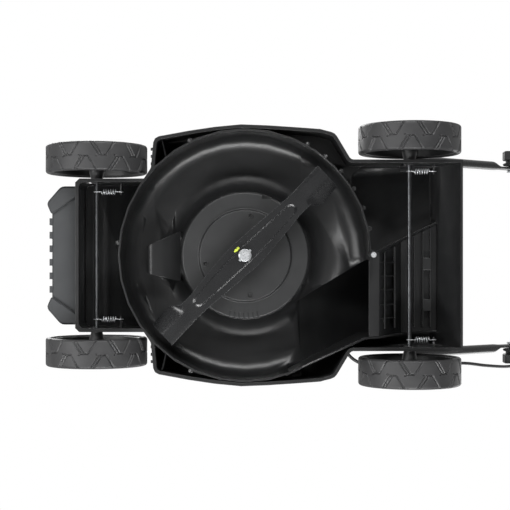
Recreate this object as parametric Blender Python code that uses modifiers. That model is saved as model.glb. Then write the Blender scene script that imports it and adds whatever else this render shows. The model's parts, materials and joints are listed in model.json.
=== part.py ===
# Cordless lawn mower with a plastic deck, rear discharge and a folding handle.
# Metres, Z up. X points to the rear, Y to the mower's right side.
# Everything is modelled from the blade axis, and one empty then stands the mower on its frame.

import math

import bmesh
import bpy
from mathutils import Matrix, Vector

# Clearances
GAP = 0.0003
RUNNING_GAP = 0.0005
OVERRUN = 0.005

# Faces that meet at less than this angle are made one
FLAT_ANGLE = math.radians(0.2)

# Deck skirt, measured from the blade axis
SKIRT_Z = 0.045
SKIRT_RIM = 0.005
RIM_PROUD = 0.0025
WALL = 0.0035
FRONT_X = -0.294
FRONT_HALF = 0.133
NOSE_STEP = 0.007
CORNER_X = -0.158
CORNER_HALF = 0.2045
BULGE_START_X = -0.1435
BULGE_START_HALF = 0.2072
WAIST_HALF = 0.227
BULGE_END_X = 0.130
BULGE_END_HALF = 0.2188
SHOULDER_X = 0.156
SHOULDER_HALF = 0.2120
REAR_START_X = 0.1835
REAR_HALF = 0.166
REAR_X = 0.3775
REAR_RAKE = math.radians(20)
DECK_TOP = 0.114
FRONT_TOP = 0.136
REAR_TOP = 0.152
TOP_ROUNDING = 0.005
CORNER_ROUNDING = 0.014
TAIL_SLANT = 0.016
TAIL_ROUNDING = 0.015
BLOCK_STEP = 0.0005

# Blade chamber
CHAMBER_RADIUS = 0.2165
CHAMBER_ROOF = 0.135
CHAMBER_FILLET = 0.027
CHANNEL_INNER = 0.150
RING_WALL = 0.0033
DOME_SHOULDER = 0.0285
SEAT_Z = 0.097
SEAT_RADIUS = 0.1135
SEAT_PLATE = 0.0035
MOTOR_WELL_RADIUS = 0.108
CHAMBER_SIDES = 32
SPLIT_FRONT_X = -0.164
SPLIT_REAR_X = 0.100
SPLIT_REAR_Y = 0.050
RECESS_FRONT_X = -0.180
RECESS_BACK_X = -0.130
RECESS_LEFT = -0.066
RECESS_RIGHT = 0.080
RECESS_ROOF = 0.1345
ARM_ROOT_HALF = 0.044
ARM_TIP_HALF = 0.024
ARM_TIP_X = -0.175
RING_BOSS_RADIUS = 0.0042
RING_BOSS_PITCH = 9.7

# Discharge tunnel and chute floor
TUNNEL_START_X = 0.0937
TUNNEL_START_Y = 0.081
BOSS_X = 0.2235
BOSS_Y = -0.001
BOSS_RADIUS = 0.0087
LIP_END_X = 0.2065
LIP_END_Y = 0.1425
TANGENT_X = 0.0758
TANGENT_Y = 0.2025
TUNNEL_REAR_LEFT = -0.059
TUNNEL_REAR_RIGHT = 0.130
TUNNEL_RISE = 0.55
FLOOR_LIP_Z = 0.052
FLOOR_STRIP = 0.0185
FLOOR_KNEE_X = 0.280
FLOOR_KNEE_Z = 0.125
FLOOR_REAR_Z = 0.131
FLOOR_PLATE = 0.003

# Wheels and axles
FRONT_WHEEL_RADIUS = 0.0890
REAR_WHEEL_RADIUS = 0.0905
FRONT_AXLE_X = -0.2625
REAR_AXLE_X = 0.2910
AXLE_RADIUS = 0.004
FRONT_TYRE_INNER = 0.144
FRONT_TYRE_WIDTH = 0.050
REAR_TYRE_INNER = 0.179
REAR_TYRE_WIDTH = 0.050
TYRE_DEPTH = 0.009
TREAD_REPEATS = 6
GROOVE_DEPTH = 0.0018
GROOVE_WIDTH = 0.0026
GROOVE_LEAN = 0.5
HUB_RADIUS = 0.0135
RIM_FLANGE = 0.003
RIM_WEB_DEPTH = 0.018
RIM_WEB = 0.0035
RIM_SPOKES = 5
HUBCAP_RADIUS = 0.042
NOTCH_PITCH = 0.013
NOTCHES_EACH_WAY = 2
AXLE_RELEASE = 0.012
TYRE_SIDES = 20

# Axle springs
SPRING_WIRE = 0.0018
SPRING_RADIUS = 0.0044
SPRING_PITCH = 0.0042
SPRING_CURLS = 6
CURL_POINTS = 8
SPRING_LEAD = 0.009
SPRING_PEG_RADIUS = 0.0025
FRONT_SPRING_Y = 0.1126
REAR_SPRING_Y = 0.1490

# Motor and blade
COVER_RADIUS = 0.1125
COVER_DISC_RADIUS = 0.082
COVER_RING_Z = 0.092
COVER_DISC_Z = 0.085
COVER_SHEET = 0.003
COVER_SCREW_RADIUS = 0.071
MOTOR_RADIUS = 0.062
MOTOR_FLANGE_RADIUS = 0.078
MOTOR_TOP = 0.166
SHAFT_RADIUS = 0.006
SHAFT_TOP = 0.190
FAN_RADIUS = 0.052
FAN_HEIGHT = 0.014
FAN_BLADES = 8
BLADE_HALF_LENGTH = 0.200
BLADE_Z = 0.0580
BLADE_THICKNESS = 0.0032
BLADE_TURN = math.radians(-44)
SAIL_HEIGHT = 0.015
EMBOSS_DEPTH = 0.002
EMBOSS_HALF_LENGTH = 0.122
HOLDER_RADIUS = 0.024
HOLDER_NECK = 0.0115
WASHER_RADIUS = 0.0113
WASHER_HEIGHT = 0.003
BOLT_HEAD_RADIUS = 0.0088
BOLT_HEAD_HEIGHT = 0.0075
BOLT_RADIUS = 0.005

# Hood, battery and lid
HOOD_CENTRE_X = -0.0085
HOOD_TOP = 0.286
HOOD_SHELL = 0.003
HOOD_HALF_LENGTH = 0.190
HOOD_HALF_WIDTH = 0.142
BAY_FRONT_X = -0.125
BAY_REAR_X = 0.027
BAY_HALF = 0.049
BAY_FLOOR_Z = 0.197
BATTERY_LENGTH = 0.128
BATTERY_HEIGHT = 0.078
LID_MARGIN = 0.005
LID_THICKNESS = 0.006
LID_BARREL_RADIUS = 0.004
LID_PIN_RADIUS = 0.002
LID_EAR_WIDTH = 0.005
CARRY_X = 0.062
CARRY_HALF = 0.055
CARRY_RISE = 0.036
CARRY_RADIUS = 0.009

# Rear flap
HINGE_Z = 0.2645
HINGE_OFFSET = 0.008
FLAP_ROD_RADIUS = 0.0025
FLAP_BARREL_RADIUS = 0.0055
FLAP_SHEET = 0.003
FLAP_EAR_HALF = 0.003
FLAP_MARGIN = 0.008
FLAP_LENGTH = 0.158
FLAP_SPRING_CURLS = 4
FLAP_SPRING_WIRE = 0.0014
FLAP_SPRING_RADIUS = 0.0052
FLAP_SPRING_PITCH = 0.0024

# Handle
TUBE_RADIUS = 0.0085
TUBE_Y = 0.181
FLAT_HALF = 0.0035
FLAT_LENGTH = 0.030
FLAT_BLEND = 0.022
FOOT_X = 0.315
FOOT_Z = 0.212
LOWER_INCLINE = math.radians(35)
JOINT_X = 0.530
TUBE_OVERHANG = 0.016
UPPER_INCLINE = math.radians(50)
UPPER_LENGTH = 0.796
UPPER_CORNER = 0.060
GRIP_HALF = 0.112
GRIP_RADIUS = 0.0145
HANDLE_BOLT_RADIUS = 0.003
KNOB_RADIUS = 0.017
KNOB_LENGTH = 0.019
BAIL_PIVOT_REACH = 0.136
BAIL_OFFSET = 0.022
BAIL_RADIUS = 0.005
BAIL_HALF = 0.158
BAIL_OPEN = math.radians(24)
SWITCH_BOX_LENGTH = 0.105
CABLE_RADIUS = 0.003
CLIP_DISTANCES = (0.25, 0.50)
CLIP_LENGTH = 0.012
CLIP_WALL = 0.002
CABLE_HOLE_REACH = 0.025

# Front bumper
BUMPER_HALF = 0.121
BUMPER_FACE_X = -0.3385
BUMPER_LOBE_X = -0.3475
BUMPER_LOBE_HALF = 0.0915
BUMPER_FLAT_HALF = 0.071
BUMPER_LOW = 0.064
BUMPER_HIGH = 0.132
BUMPER_RIBS = 6
BUMPER_RIB_PITCH = 0.0238
BUMPER_RIB_WIDTH = 0.0118

MATERIALS = {
    "deck_black": ((0.010, 0.011, 0.012), 0.42, 0.0),
    "cover_black": ((0.028, 0.029, 0.030), 0.55, 0.0),
    "bumper_grey": ((0.032, 0.034, 0.036), 0.70, 0.0),
    "tyre_grey": ((0.045, 0.047, 0.049), 0.60, 0.0),
    "rim_black": ((0.012, 0.012, 0.013), 0.45, 0.0),
    "zinc": ((0.62, 0.62, 0.60), 0.28, 1.0),
    "axle_steel": ((0.36, 0.36, 0.37), 0.25, 1.0),
    "blade_black": ((0.020, 0.021, 0.022), 0.32, 0.5),
    "motor_metal": ((0.30, 0.30, 0.31), 0.45, 0.9),
    "fan_black": ((0.020, 0.020, 0.020), 0.50, 0.0),
    "hood_grey": ((0.030, 0.032, 0.034), 0.50, 0.0),
    "battery_black": ((0.014, 0.014, 0.015), 0.55, 0.0),
    "key_red": ((0.450, 0.030, 0.020), 0.45, 0.0),
    "tube_black": ((0.018, 0.018, 0.019), 0.35, 0.3),
    "grip_foam": ((0.020, 0.020, 0.021), 0.95, 0.0),
    "cable_black": ((0.012, 0.012, 0.012), 0.50, 0.0),
}


# Scene set-up

def clear_scene():
    for obj in list(bpy.data.objects):
        bpy.data.objects.remove(obj, do_unlink=True)


def make_collection(name):
    """Collection that the view layer leaves out until the model is whole, which keeps the build quick."""
    group = bpy.data.collections.new(name)
    bpy.context.scene.collection.children.link(group)
    show_collection(group, False)
    return group


def show_collection(group, shown):
    bpy.context.view_layer.layer_collection.children[group.name].exclude = not shown


def make_material(name):
    color, roughness, metallic = MATERIALS[name]
    material = bpy.data.materials.new(name)
    material.use_nodes = True
    shader = material.node_tree.nodes["Principled BSDF"]
    shader.inputs["Base Color"].default_value = (*color, 1.0)
    shader.inputs["Roughness"].default_value = roughness
    shader.inputs["Metallic"].default_value = metallic
    material.diffuse_color = (*color, 1.0)
    return material


clear_scene()
parts = make_collection("cordless_lawn_mower")
tools = make_collection("cutters")
frame = bpy.data.objects.new("mower_frame", None)
parts.objects.link(frame)
materials = {name: make_material(name) for name in MATERIALS}


# Shape helpers: each returns a closed mesh object that waits among the cutters

def keep_tool(name, mesh):
    obj = bpy.data.objects.new(name, mesh)
    tools.objects.link(obj)
    obj.parent = frame
    obj.hide_render = True
    obj.display_type = "WIRE"
    return obj


def from_bmesh(name, bm):
    bmesh.ops.recalc_face_normals(bm, faces=bm.faces)
    mesh = bpy.data.meshes.new(name)
    bm.to_mesh(mesh)
    bm.free()
    return keep_tool(name, mesh)


def settled(obj):
    """Replace an object by the mesh that its curve or modifiers give, welded and facing out."""
    if bpy.context.scene.collection not in obj.users_collection:
        bpy.context.scene.collection.objects.link(obj)
    graph = bpy.context.evaluated_depsgraph_get()
    shape = obj.evaluated_get(graph)
    mesh = bpy.data.meshes.new_from_object(shape)
    name = obj.name
    bm = bmesh.new()
    bm.from_mesh(mesh)
    bm.transform(shape.matrix_world)
    weld(bm)
    bpy.data.objects.remove(obj, do_unlink=True)
    bpy.data.meshes.remove(mesh)
    return from_bmesh(name, bm)


def box(name, low, high):
    bm = bmesh.new()
    size = Vector(high) - Vector(low)
    centre = (Vector(high) + Vector(low)) / 2
    bmesh.ops.create_cube(bm, size=1.0, matrix=Matrix.Translation(centre) @ Matrix.Diagonal((*size, 1.0)))
    return from_bmesh(name, bm)


def rod(name, start, end, radius, sides=12, end_radius=None):
    """Cylinder or cone between two points."""
    start, end = Vector(start), Vector(end)
    turn = Vector((0, 0, 1)).rotation_difference(end - start).to_matrix().to_4x4()
    bm = bmesh.new()
    bmesh.ops.create_cone(
        bm, cap_ends=True, segments=sides, radius1=radius,
        radius2=radius if end_radius is None else end_radius,
        depth=(end - start).length, matrix=Matrix.Translation((start + end) / 2) @ turn)
    return from_bmesh(name, bm)


PLANES = {
    "Z": Matrix.Identity(4),
    "Y": Matrix(((1, 0, 0, 0), (0, 0, -1, 0), (0, 1, 0, 0), (0, 0, 0, 1))),
    "X": Matrix(((0, 0, 1, 0), (1, 0, 0, 0), (0, 1, 0, 0), (0, 0, 0, 1))),
}


def plate(name, outline, low, high, axis="Z", rounding=0.0, detail=0):
    """Flat outline given thickness along an axis, with its edges chamfered or rounded."""
    curve = bpy.data.curves.new(name, "CURVE")
    curve.dimensions = "2D"
    curve.fill_mode = "BOTH"
    curve.extrude = (high - low) / 2 - rounding
    curve.bevel_depth = rounding
    curve.bevel_resolution = detail
    curve.offset = -rounding
    spline = curve.splines.new("POLY")
    spline.points.add(len(outline) - 1)
    for point, place in zip(spline.points, outline):
        point.co = (place[0], place[1], 0.0, 1.0)
    spline.use_cyclic_u = True
    obj = bpy.data.objects.new(name, curve)
    obj.matrix_world = Matrix.Translation(axis_vector(axis) * (low + high) / 2) @ PLANES[axis]
    return settled(obj)


def turned(name, profile, sides=32, centre=(0, 0, 0), axis="Z"):
    """Profile of (radius, height) points turned round an axis; an open one starts and ends on it."""
    mesh = bpy.data.meshes.new(name)
    count = len(profile)
    closed = profile[0][0] > 0
    edges = [(i, i + 1) for i in range(count - 1)]
    if closed:
        edges.append((count - 1, 0))
    mesh.from_pydata([(radius, 0, height) for radius, height in profile], edges, [])
    obj = bpy.data.objects.new(name, mesh)
    screw = obj.modifiers.new("turn", "SCREW")
    screw.steps = sides
    screw.render_steps = sides
    screw.use_merge_vertices = True
    screw.merge_threshold = 0.00001
    turn = Vector((0, 0, 1)).rotation_difference(axis_vector(axis)).to_matrix().to_4x4()
    obj.matrix_world = Matrix.Translation(centre) @ turn
    return settled(obj)


def axis_vector(axis):
    return {"X": Vector((1, 0, 0)), "Y": Vector((0, 1, 0)), "Z": Vector((0, 0, 1))}[axis]


def tube(name, points, radius, detail=2):
    """Round tube along a list of points, with closed ends."""
    curve = bpy.data.curves.new(name, "CURVE")
    curve.dimensions = "3D"
    curve.bevel_depth = radius
    curve.bevel_resolution = detail
    curve.use_fill_caps = True
    spline = curve.splines.new("POLY")
    spline.points.add(len(points) - 1)
    for point, place in zip(spline.points, points):
        point.co = (*place, 1.0)
    return settled(bpy.data.objects.new(name, curve))


def weld(bm, distance=0.00002):
    bmesh.ops.remove_doubles(bm, verts=bm.verts, dist=distance)
    bmesh.ops.dissolve_degenerate(bm, edges=bm.edges, dist=distance / 2)


def combine(target, operation, operands):
    """Boolean with each tool in turn, welded after each one, because the tools may overlap each other."""
    bench = bpy.context.scene.collection
    bench.objects.link(target)
    for operand in operands:
        modifier = target.modifiers.new(operand.name, "BOOLEAN")
        modifier.operation = operation
        modifier.solver = "EXACT"
        modifier.object = operand
        graph = bpy.context.evaluated_depsgraph_get()
        result = bpy.data.meshes.new_from_object(target.evaluated_get(graph))
        target.modifiers.clear()
        bm = bmesh.new()
        bm.from_mesh(result)
        weld(bm)
        if operand is operands[-1]:
            bmesh.ops.dissolve_limit(bm, angle_limit=FLAT_ANGLE, verts=bm.verts, edges=bm.edges)
        bm.to_mesh(target.data)
        bm.free()
        bpy.data.meshes.remove(result)
    bench.objects.unlink(target)
    return target


def join(target, *operands):
    return combine(target, "UNION", operands)


def cut(target, *operands):
    return combine(target, "DIFFERENCE", operands)


def trim(target, operand):
    return combine(target, "INTERSECT", [operand])


def moved(obj, matrix):
    obj.data.transform(matrix)
    return obj


def mirrored(name, obj):
    """Copy of a settled shape on the other side of the middle plane."""
    bm = bmesh.new()
    bm.from_mesh(obj.data)
    bmesh.ops.scale(bm, vec=(1, -1, 1), verts=bm.verts)
    bmesh.ops.reverse_faces(bm, faces=bm.faces)
    return from_bmesh(name, bm)


def as_part(obj, material, origin=(0, 0, 0)):
    """Show a finished shape as a part whose own origin lies on its joint's axis."""
    for group in list(obj.users_collection):
        group.objects.unlink(obj)
    parts.objects.link(obj)
    obj.hide_render = False
    obj.display_type = "TEXTURED"
    obj.data.transform(Matrix.Translation(-Vector(origin)))
    obj.location = origin
    obj.data.materials.clear()
    obj.data.materials.append(materials[material])
    obj.data.shade_smooth()
    obj.data.set_sharp_from_angle(angle=math.radians(35))
    return obj


# Outline helpers

def arc(centre, radius, start, end, steps):
    """Points on an arc between two angles in degrees."""
    turns = [math.radians(start + (end - start) * i / steps) for i in range(steps + 1)]
    return [(centre[0] + radius * math.cos(a), centre[1] + radius * math.sin(a)) for a in turns]


def rounded(corners, steps=4):
    """Closed outline of (x, y, radius) corners, each radius drawn as an arc."""
    points = []
    for index, (x, y, radius) in enumerate(corners):
        corner = Vector((x, y))
        if radius == 0:
            points.append(corner)
            continue
        before = (Vector(corners[index - 1][:2]) - corner).normalized()
        after = (Vector(corners[(index + 1) % len(corners)][:2]) - corner).normalized()
        half = before.angle(after) / 2
        centre = corner + (before + after).normalized() * radius / math.sin(half)
        start = corner + before * radius / math.tan(half) - centre
        end = corner + after * radius / math.tan(half) - centre
        sweep = -start.angle_signed(end)
        points.extend(centre + Matrix.Rotation(sweep * i / steps, 2) @ start for i in range(steps + 1))
    return [(point[0], point[1]) for point in points]


def inset(outline, distance):
    """Outline moved inwards by a distance, or outwards by a negative one."""
    points = [Vector(point) for point in outline]
    area = sum(points[i - 1].cross(points[i]) for i in range(len(points)))
    side = distance if area > 0 else -distance
    result = []
    for index, point in enumerate(points):
        before = (point - points[index - 1]).normalized()
        after = (points[(index + 1) % len(points)] - point).normalized()
        first = Vector((-before.y, before.x))
        second = Vector((-after.y, after.x))
        result.append(point + (first + second) * side / (1 + first.dot(second)))
    return [(point.x, point.y) for point in result]


def both_sides(half):
    """Closed list of corners from the front middle to the rear middle and back."""
    return half + [(x, -y, radius) for x, y, radius in reversed(half)]


def rear_face_x(z):
    """Rear face of the deck, which leans forwards as it rises."""
    return REAR_X - (z - SKIRT_Z) * math.tan(REAR_RAKE)


def floor_corners():
    """Underside of the chute floor: a flat strip at the lip, a steep rise, and a gentle one."""
    lip = BOSS_X - BOSS_RADIUS
    return [(lip, FLOOR_LIP_Z), (lip + FLOOR_STRIP, FLOOR_LIP_Z), (FLOOR_KNEE_X, FLOOR_KNEE_Z),
            (rear_face_x(FLOOR_REAR_Z), FLOOR_REAR_Z)]


def floor_z(x):
    """Height of the chute floor's underside at a distance behind the blade axis."""
    corners = floor_corners()
    for first, second in zip(corners, corners[1:]):
        if x <= second[0]:
            break
    return first[1] + (second[1] - first[1]) * (x - first[0]) / (second[0] - first[0])


def tunnel_roof_z(x):
    return CHAMBER_ROOF + TUNNEL_RISE * (x - TUNNEL_START_X)


# Deck shell

def bulge_half(x):
    """Half width of the skirt where it swells round the blade chamber."""
    if x < 0:
        return WAIST_HALF - (WAIST_HALF - BULGE_START_HALF) * (x / BULGE_START_X) ** 1.45
    return WAIST_HALF - (WAIST_HALF - BULGE_END_HALF) * (x / BULGE_END_X) ** 1.2


def skirt_outline(nose):
    """Outline of the whole deck, from the given corners of its nose to past the rear face."""
    ring_front = -math.sqrt((CHAMBER_RADIUS + RING_WALL) ** 2 - FRONT_HALF ** 2)
    steps = 6
    xs = [BULGE_START_X + (BULGE_END_X - BULGE_START_X) * i / steps for i in range(steps + 1)]
    half = nose + [
        (ring_front, FRONT_HALF, 0.0),
        (ring_front + 0.012, FRONT_HALF + 0.018, 0.010),
        (CORNER_X, CORNER_HALF, 0.012),
    ]
    half += [(x, bulge_half(x), 0.0) for x in xs]
    half += [
        (SHOULDER_X, SHOULDER_HALF, 0.016),
        (REAR_START_X, REAR_HALF, 0.008),
        (REAR_X + 0.03, REAR_HALF, 0.0),
    ]
    return rounded(both_sides(half), steps=2)


def body_outline():
    return skirt_outline([(FRONT_X, FRONT_HALF, CORNER_ROUNDING)])


def rim_outline():
    return skirt_outline([(FRONT_X, FRONT_HALF - NOSE_STEP, 0.0), (FRONT_X + NOSE_STEP, FRONT_HALF, 0.0)])


def nose_outline(margin):
    """Front block or the bay inside it, drawn in from the skirt by a margin."""
    corners = [(FRONT_X + margin, FRONT_HALF - margin, CORNER_ROUNDING - margin),
               (RECESS_BACK_X, FRONT_HALF - margin, 0.0)]
    return rounded(both_sides(corners), 2)


def tail_outline(margin):
    """Rear block or the bay inside it, drawn in from the skirt by a margin."""
    corners = [(REAR_START_X + margin, REAR_HALF - margin - TAIL_SLANT, TAIL_ROUNDING - margin),
               (REAR_START_X + margin + TAIL_SLANT, REAR_HALF - margin, TAIL_ROUNDING - margin),
               (REAR_X + 0.03, REAR_HALF - margin, 0.0)]
    return rounded(both_sides(corners), 2)


def behind_rear_face(name, depth):
    """Block behind the leaning rear face, moved forwards by a depth."""
    low, high = SKIRT_Z - 0.02, HINGE_Z + 0.08
    reach = REAR_X + 0.10
    outline = [(rear_face_x(low) - depth, low), (reach, low), (reach, high), (rear_face_x(high) - depth, high)]
    return plate(name, outline, -REAR_HALF - 0.05, REAR_HALF + 0.05, axis="Y")


def dome_profile():
    outer = CHAMBER_RADIUS + RING_WALL
    top = CHAMBER_ROOF + WALL
    shoulder = arc((outer - DOME_SHOULDER, top - DOME_SHOULDER), DOME_SHOULDER, 90, 0, 3)
    return [(0, top)] + shoulder + [(outer, DECK_TOP - 0.02), (0, DECK_TOP - 0.02)]


def chamber_profile():
    low = SKIRT_Z - OVERRUN
    fillet = arc((CHAMBER_RADIUS - CHAMBER_FILLET, CHAMBER_ROOF - CHAMBER_FILLET), CHAMBER_FILLET, 0, 90, 3)
    drop = CHAMBER_ROOF - SEAT_Z
    inner = arc((CHANNEL_INNER, CHAMBER_ROOF - drop * 0.85), drop * 0.85, 90, 165, 3)
    return [(0, low), (CHAMBER_RADIUS, low)] + fillet + inner + [(SEAT_RADIUS, SEAT_Z), (0, SEAT_Z)]


def motor_well_profile():
    floor = SEAT_Z + SEAT_PLATE
    high = RECESS_ROOF + 0.02
    return [(0, floor), (MOTOR_WELL_RADIUS, floor), (MOTOR_WELL_RADIUS + 0.010, floor + 0.025),
            (MOTOR_WELL_RADIUS + 0.012, high), (0, high)]


def tunnel_left_y(x):
    """Left wall of the tunnel, from beside the chute boss to the rear face."""
    start_x, start_y = BOSS_X - BOSS_RADIUS, BOSS_Y + BOSS_RADIUS
    share = (x - start_x) / (rear_face_x(FLOOR_REAR_Z) - start_x)
    return start_y + (TUNNEL_REAR_LEFT - start_y) * share


def tunnel_plan():
    """Inner plan of the discharge tunnel, from the chamber to past the rear face."""
    rear = REAR_X + 0.03
    return [(TUNNEL_START_X, TUNNEL_START_Y), (BOSS_X - BOSS_RADIUS, BOSS_Y + BOSS_RADIUS),
            (rear, tunnel_left_y(rear)),
            (rear, TUNNEL_REAR_RIGHT), (LIP_END_X, LIP_END_Y), (TANGENT_X, TANGENT_Y)]


def tunnel_side(low_offset, high_offset):
    """Side view of the tunnel: open to below in the chamber, then over the chute floor."""
    front = TUNNEL_START_X - 0.03
    rear = REAR_X + 0.02
    low = SKIRT_Z - OVERRUN
    floor = floor_corners()[:-1]
    under = [(x, z - low_offset) for x, z in floor]
    return ([(front, low), (floor[0][0], low)] + under + [(rear, FLOOR_REAR_Z - low_offset),
            (rear, tunnel_roof_z(rear) + high_offset), (front, tunnel_roof_z(front) + high_offset)])


def tunnel_block(name, wall):
    """Tunnel space when the wall is 0, or the block that its walls stand in."""
    block = plate(name, inset(tunnel_plan(), -wall), SKIRT_Z - 0.02, HINGE_Z + 0.10)
    below = 0.0008 if wall else 0.004
    side = plate(name + "_side", tunnel_side(below, wall), -0.3, 0.3, axis="Y")
    return trim(block, side)


def pockets():
    """Hollows under the deck outside the chamber ring and the tunnel."""
    low = SKIRT_Z - OVERRUN
    wall = RIM_PROUD + WALL
    body = plate("pockets", inset(body_outline(), wall), low, DECK_TOP - WALL)
    front = plate("front_bay", nose_outline(wall + BLOCK_STEP), low - 0.001, FRONT_TOP - WALL)
    rear = plate("rear_bay", tail_outline(wall + BLOCK_STEP), low - 0.001, REAR_TOP - WALL)
    join(body, front, rear)
    ring = rod("ring_disc", (0, 0, 0), (0, 0, 0.3), CHAMBER_RADIUS + RING_WALL, CHAMBER_SIDES)
    return cut(body, ring, tunnel_block("tunnel_walls_kept", WALL), behind_rear_face("rear_wall_kept", WALL))


def axle_slots(name, x, z, inner, outer):
    """Comb of height notches through both side walls, open to a release channel in front."""
    half = AXLE_RADIUS + RUNNING_GAP
    low = z - NOTCHES_EACH_WAY * NOTCH_PITCH - half
    high = z + NOTCHES_EACH_WAY * NOTCH_PITCH + half
    shapes = []
    for side in (-1, 1):
        y0, y1 = sorted((side * inner, side * outer))
        channel = x - AXLE_RELEASE
        shapes.append(box(name, (channel - half, y0, low), (channel + half, y1, high)))
        for step in range(-NOTCHES_EACH_WAY, NOTCHES_EACH_WAY + 1):
            height = z + step * NOTCH_PITCH
            shapes.append(box(name, (channel, y0, height - half), (x + half, y1, height + half)))
    return shapes


def ring_bosses():
    """Screw bosses round the outside of the chamber ring."""
    angles = [-60.6 + RING_BOSS_PITCH * i for i in range(6)] + [-115.6, -174.3, 115.2]
    radius = CHAMBER_RADIUS + RING_WALL + 0.002
    bosses = []
    for angle in angles:
        x = radius * math.cos(math.radians(angle))
        y = radius * math.sin(math.radians(angle))
        bosses.append(rod("ring_boss", (x, y, SKIRT_Z + 0.004), (x, y, DECK_TOP - 0.002), RING_BOSS_RADIUS, 6))
    return bosses


def spring_pegs():
    """Pegs on the side walls that hold the rear ends of the axle springs."""
    pegs = []
    for x, y, z, wall in ((front_peg_x(), FRONT_SPRING_Y, FRONT_WHEEL_RADIUS, FRONT_HALF),
                          (rear_peg_x(), REAR_SPRING_Y, REAR_WHEEL_RADIUS, REAR_HALF)):
        for side in (-1, 1):
            start = (x, side * (wall - RIM_PROUD - 0.001), z)
            end = (x, side * (y - 0.005), z)
            pegs.append(rod("spring_peg", start, end, SPRING_PEG_RADIUS, 8))
    return pegs


def handle_ears():
    """Raised ears at the rear corners that carry the handle feet."""
    outline = rounded([(FOOT_X - 0.034, REAR_TOP - 0.012, 0), (FOOT_X + 0.018, REAR_TOP - 0.012, 0),
                       (FOOT_X + 0.016, FOOT_Z + 0.018, 0.015), (FOOT_X - 0.020, FOOT_Z + 0.018, 0.015)])
    ears = []
    for side in (-1, 1):
        low, high = sorted((side * (REAR_HALF - 0.012), side * ear_face_y()))
        ears.append(plate("handle_ear", outline, low, high, axis="Y"))
    return ears


def ear_face_y():
    return TUBE_Y - TUBE_RADIUS - GAP


def flap_hinge_x():
    return rear_face_x(HINGE_Z) + HINGE_OFFSET


def flap_ears():
    """Two ears over the discharge opening that hold the flap rod."""
    x = flap_hinge_x()
    outline = rounded([(x - 0.022, HINGE_Z - 0.025, 0), (x - 0.0035, HINGE_Z - 0.025, 0),
                       (x + 0.006, HINGE_Z - 0.004, 0.003), (x + 0.006, HINGE_Z + 0.006, 0.005),
                       (x - 0.008, HINGE_Z + 0.006, 0.005)])
    left, right = flap_ear_places()
    return [plate("flap_ear", outline, y - FLAP_EAR_HALF, y + FLAP_EAR_HALF, axis="Y") for y in (left, right)]


def flap_ear_places():
    """Middle of each ear: just inside the tunnel's side walls where its roof meets the rear face."""
    return tunnel_left_y(flap_hinge_x()) + 0.005, TUNNEL_REAR_RIGHT - 0.006


def front_arm():
    """Tapered arm from the motor seat to the front of the chamber."""
    outline = [(-SEAT_RADIUS - 0.001, -ARM_ROOT_HALF), (ARM_TIP_X, -ARM_TIP_HALF + 0.007),
               (ARM_TIP_X, ARM_TIP_HALF + 0.007), (-SEAT_RADIUS - 0.001, ARM_ROOT_HALF + 0.002)]
    return plate("front_arm", outline, SEAT_Z + 0.001, RECESS_ROOF + 0.001, rounding=0.0)


def deck_ribs():
    """Small ribs in the front bay and the corner pockets."""
    ribs = [box("bay_rib", (FRONT_AXLE_X - 0.013, -FRONT_HALF + 0.005, FRONT_TOP - 0.012),
                (FRONT_AXLE_X - 0.007, FRONT_HALF - 0.005, FRONT_TOP - 0.001))]
    for side in (-1, 1):
        start = Vector((CORNER_X + 0.014, side * (CORNER_HALF - 0.004), 0))
        end = Vector((CORNER_X + 0.021, side * (CORNER_HALF - 0.036), 0))
        across = (end - start).normalized().cross(Vector((0, 0, 1))) * 0.001
        outline = [(start + across)[:2], (end + across)[:2], (end - across)[:2], (start - across)[:2]]
        ribs.append(plate("corner_rib", outline, SKIRT_Z + 0.003, DECK_TOP - 0.002))
    return ribs


def front_block():
    return plate("front_block", nose_outline(RIM_PROUD + BLOCK_STEP), SKIRT_Z - 0.012, FRONT_TOP,
                 rounding=TOP_ROUNDING)


def rear_block():
    return plate("rear_block", tail_outline(RIM_PROUD + BLOCK_STEP), SKIRT_Z - 0.012, REAR_TOP,
                 rounding=TOP_ROUNDING)


def boss_z():
    """Face of the chute boss, just above the floor's corner tab."""
    return FLOOR_LIP_Z + FLOOR_PLATE + GAP


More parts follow.
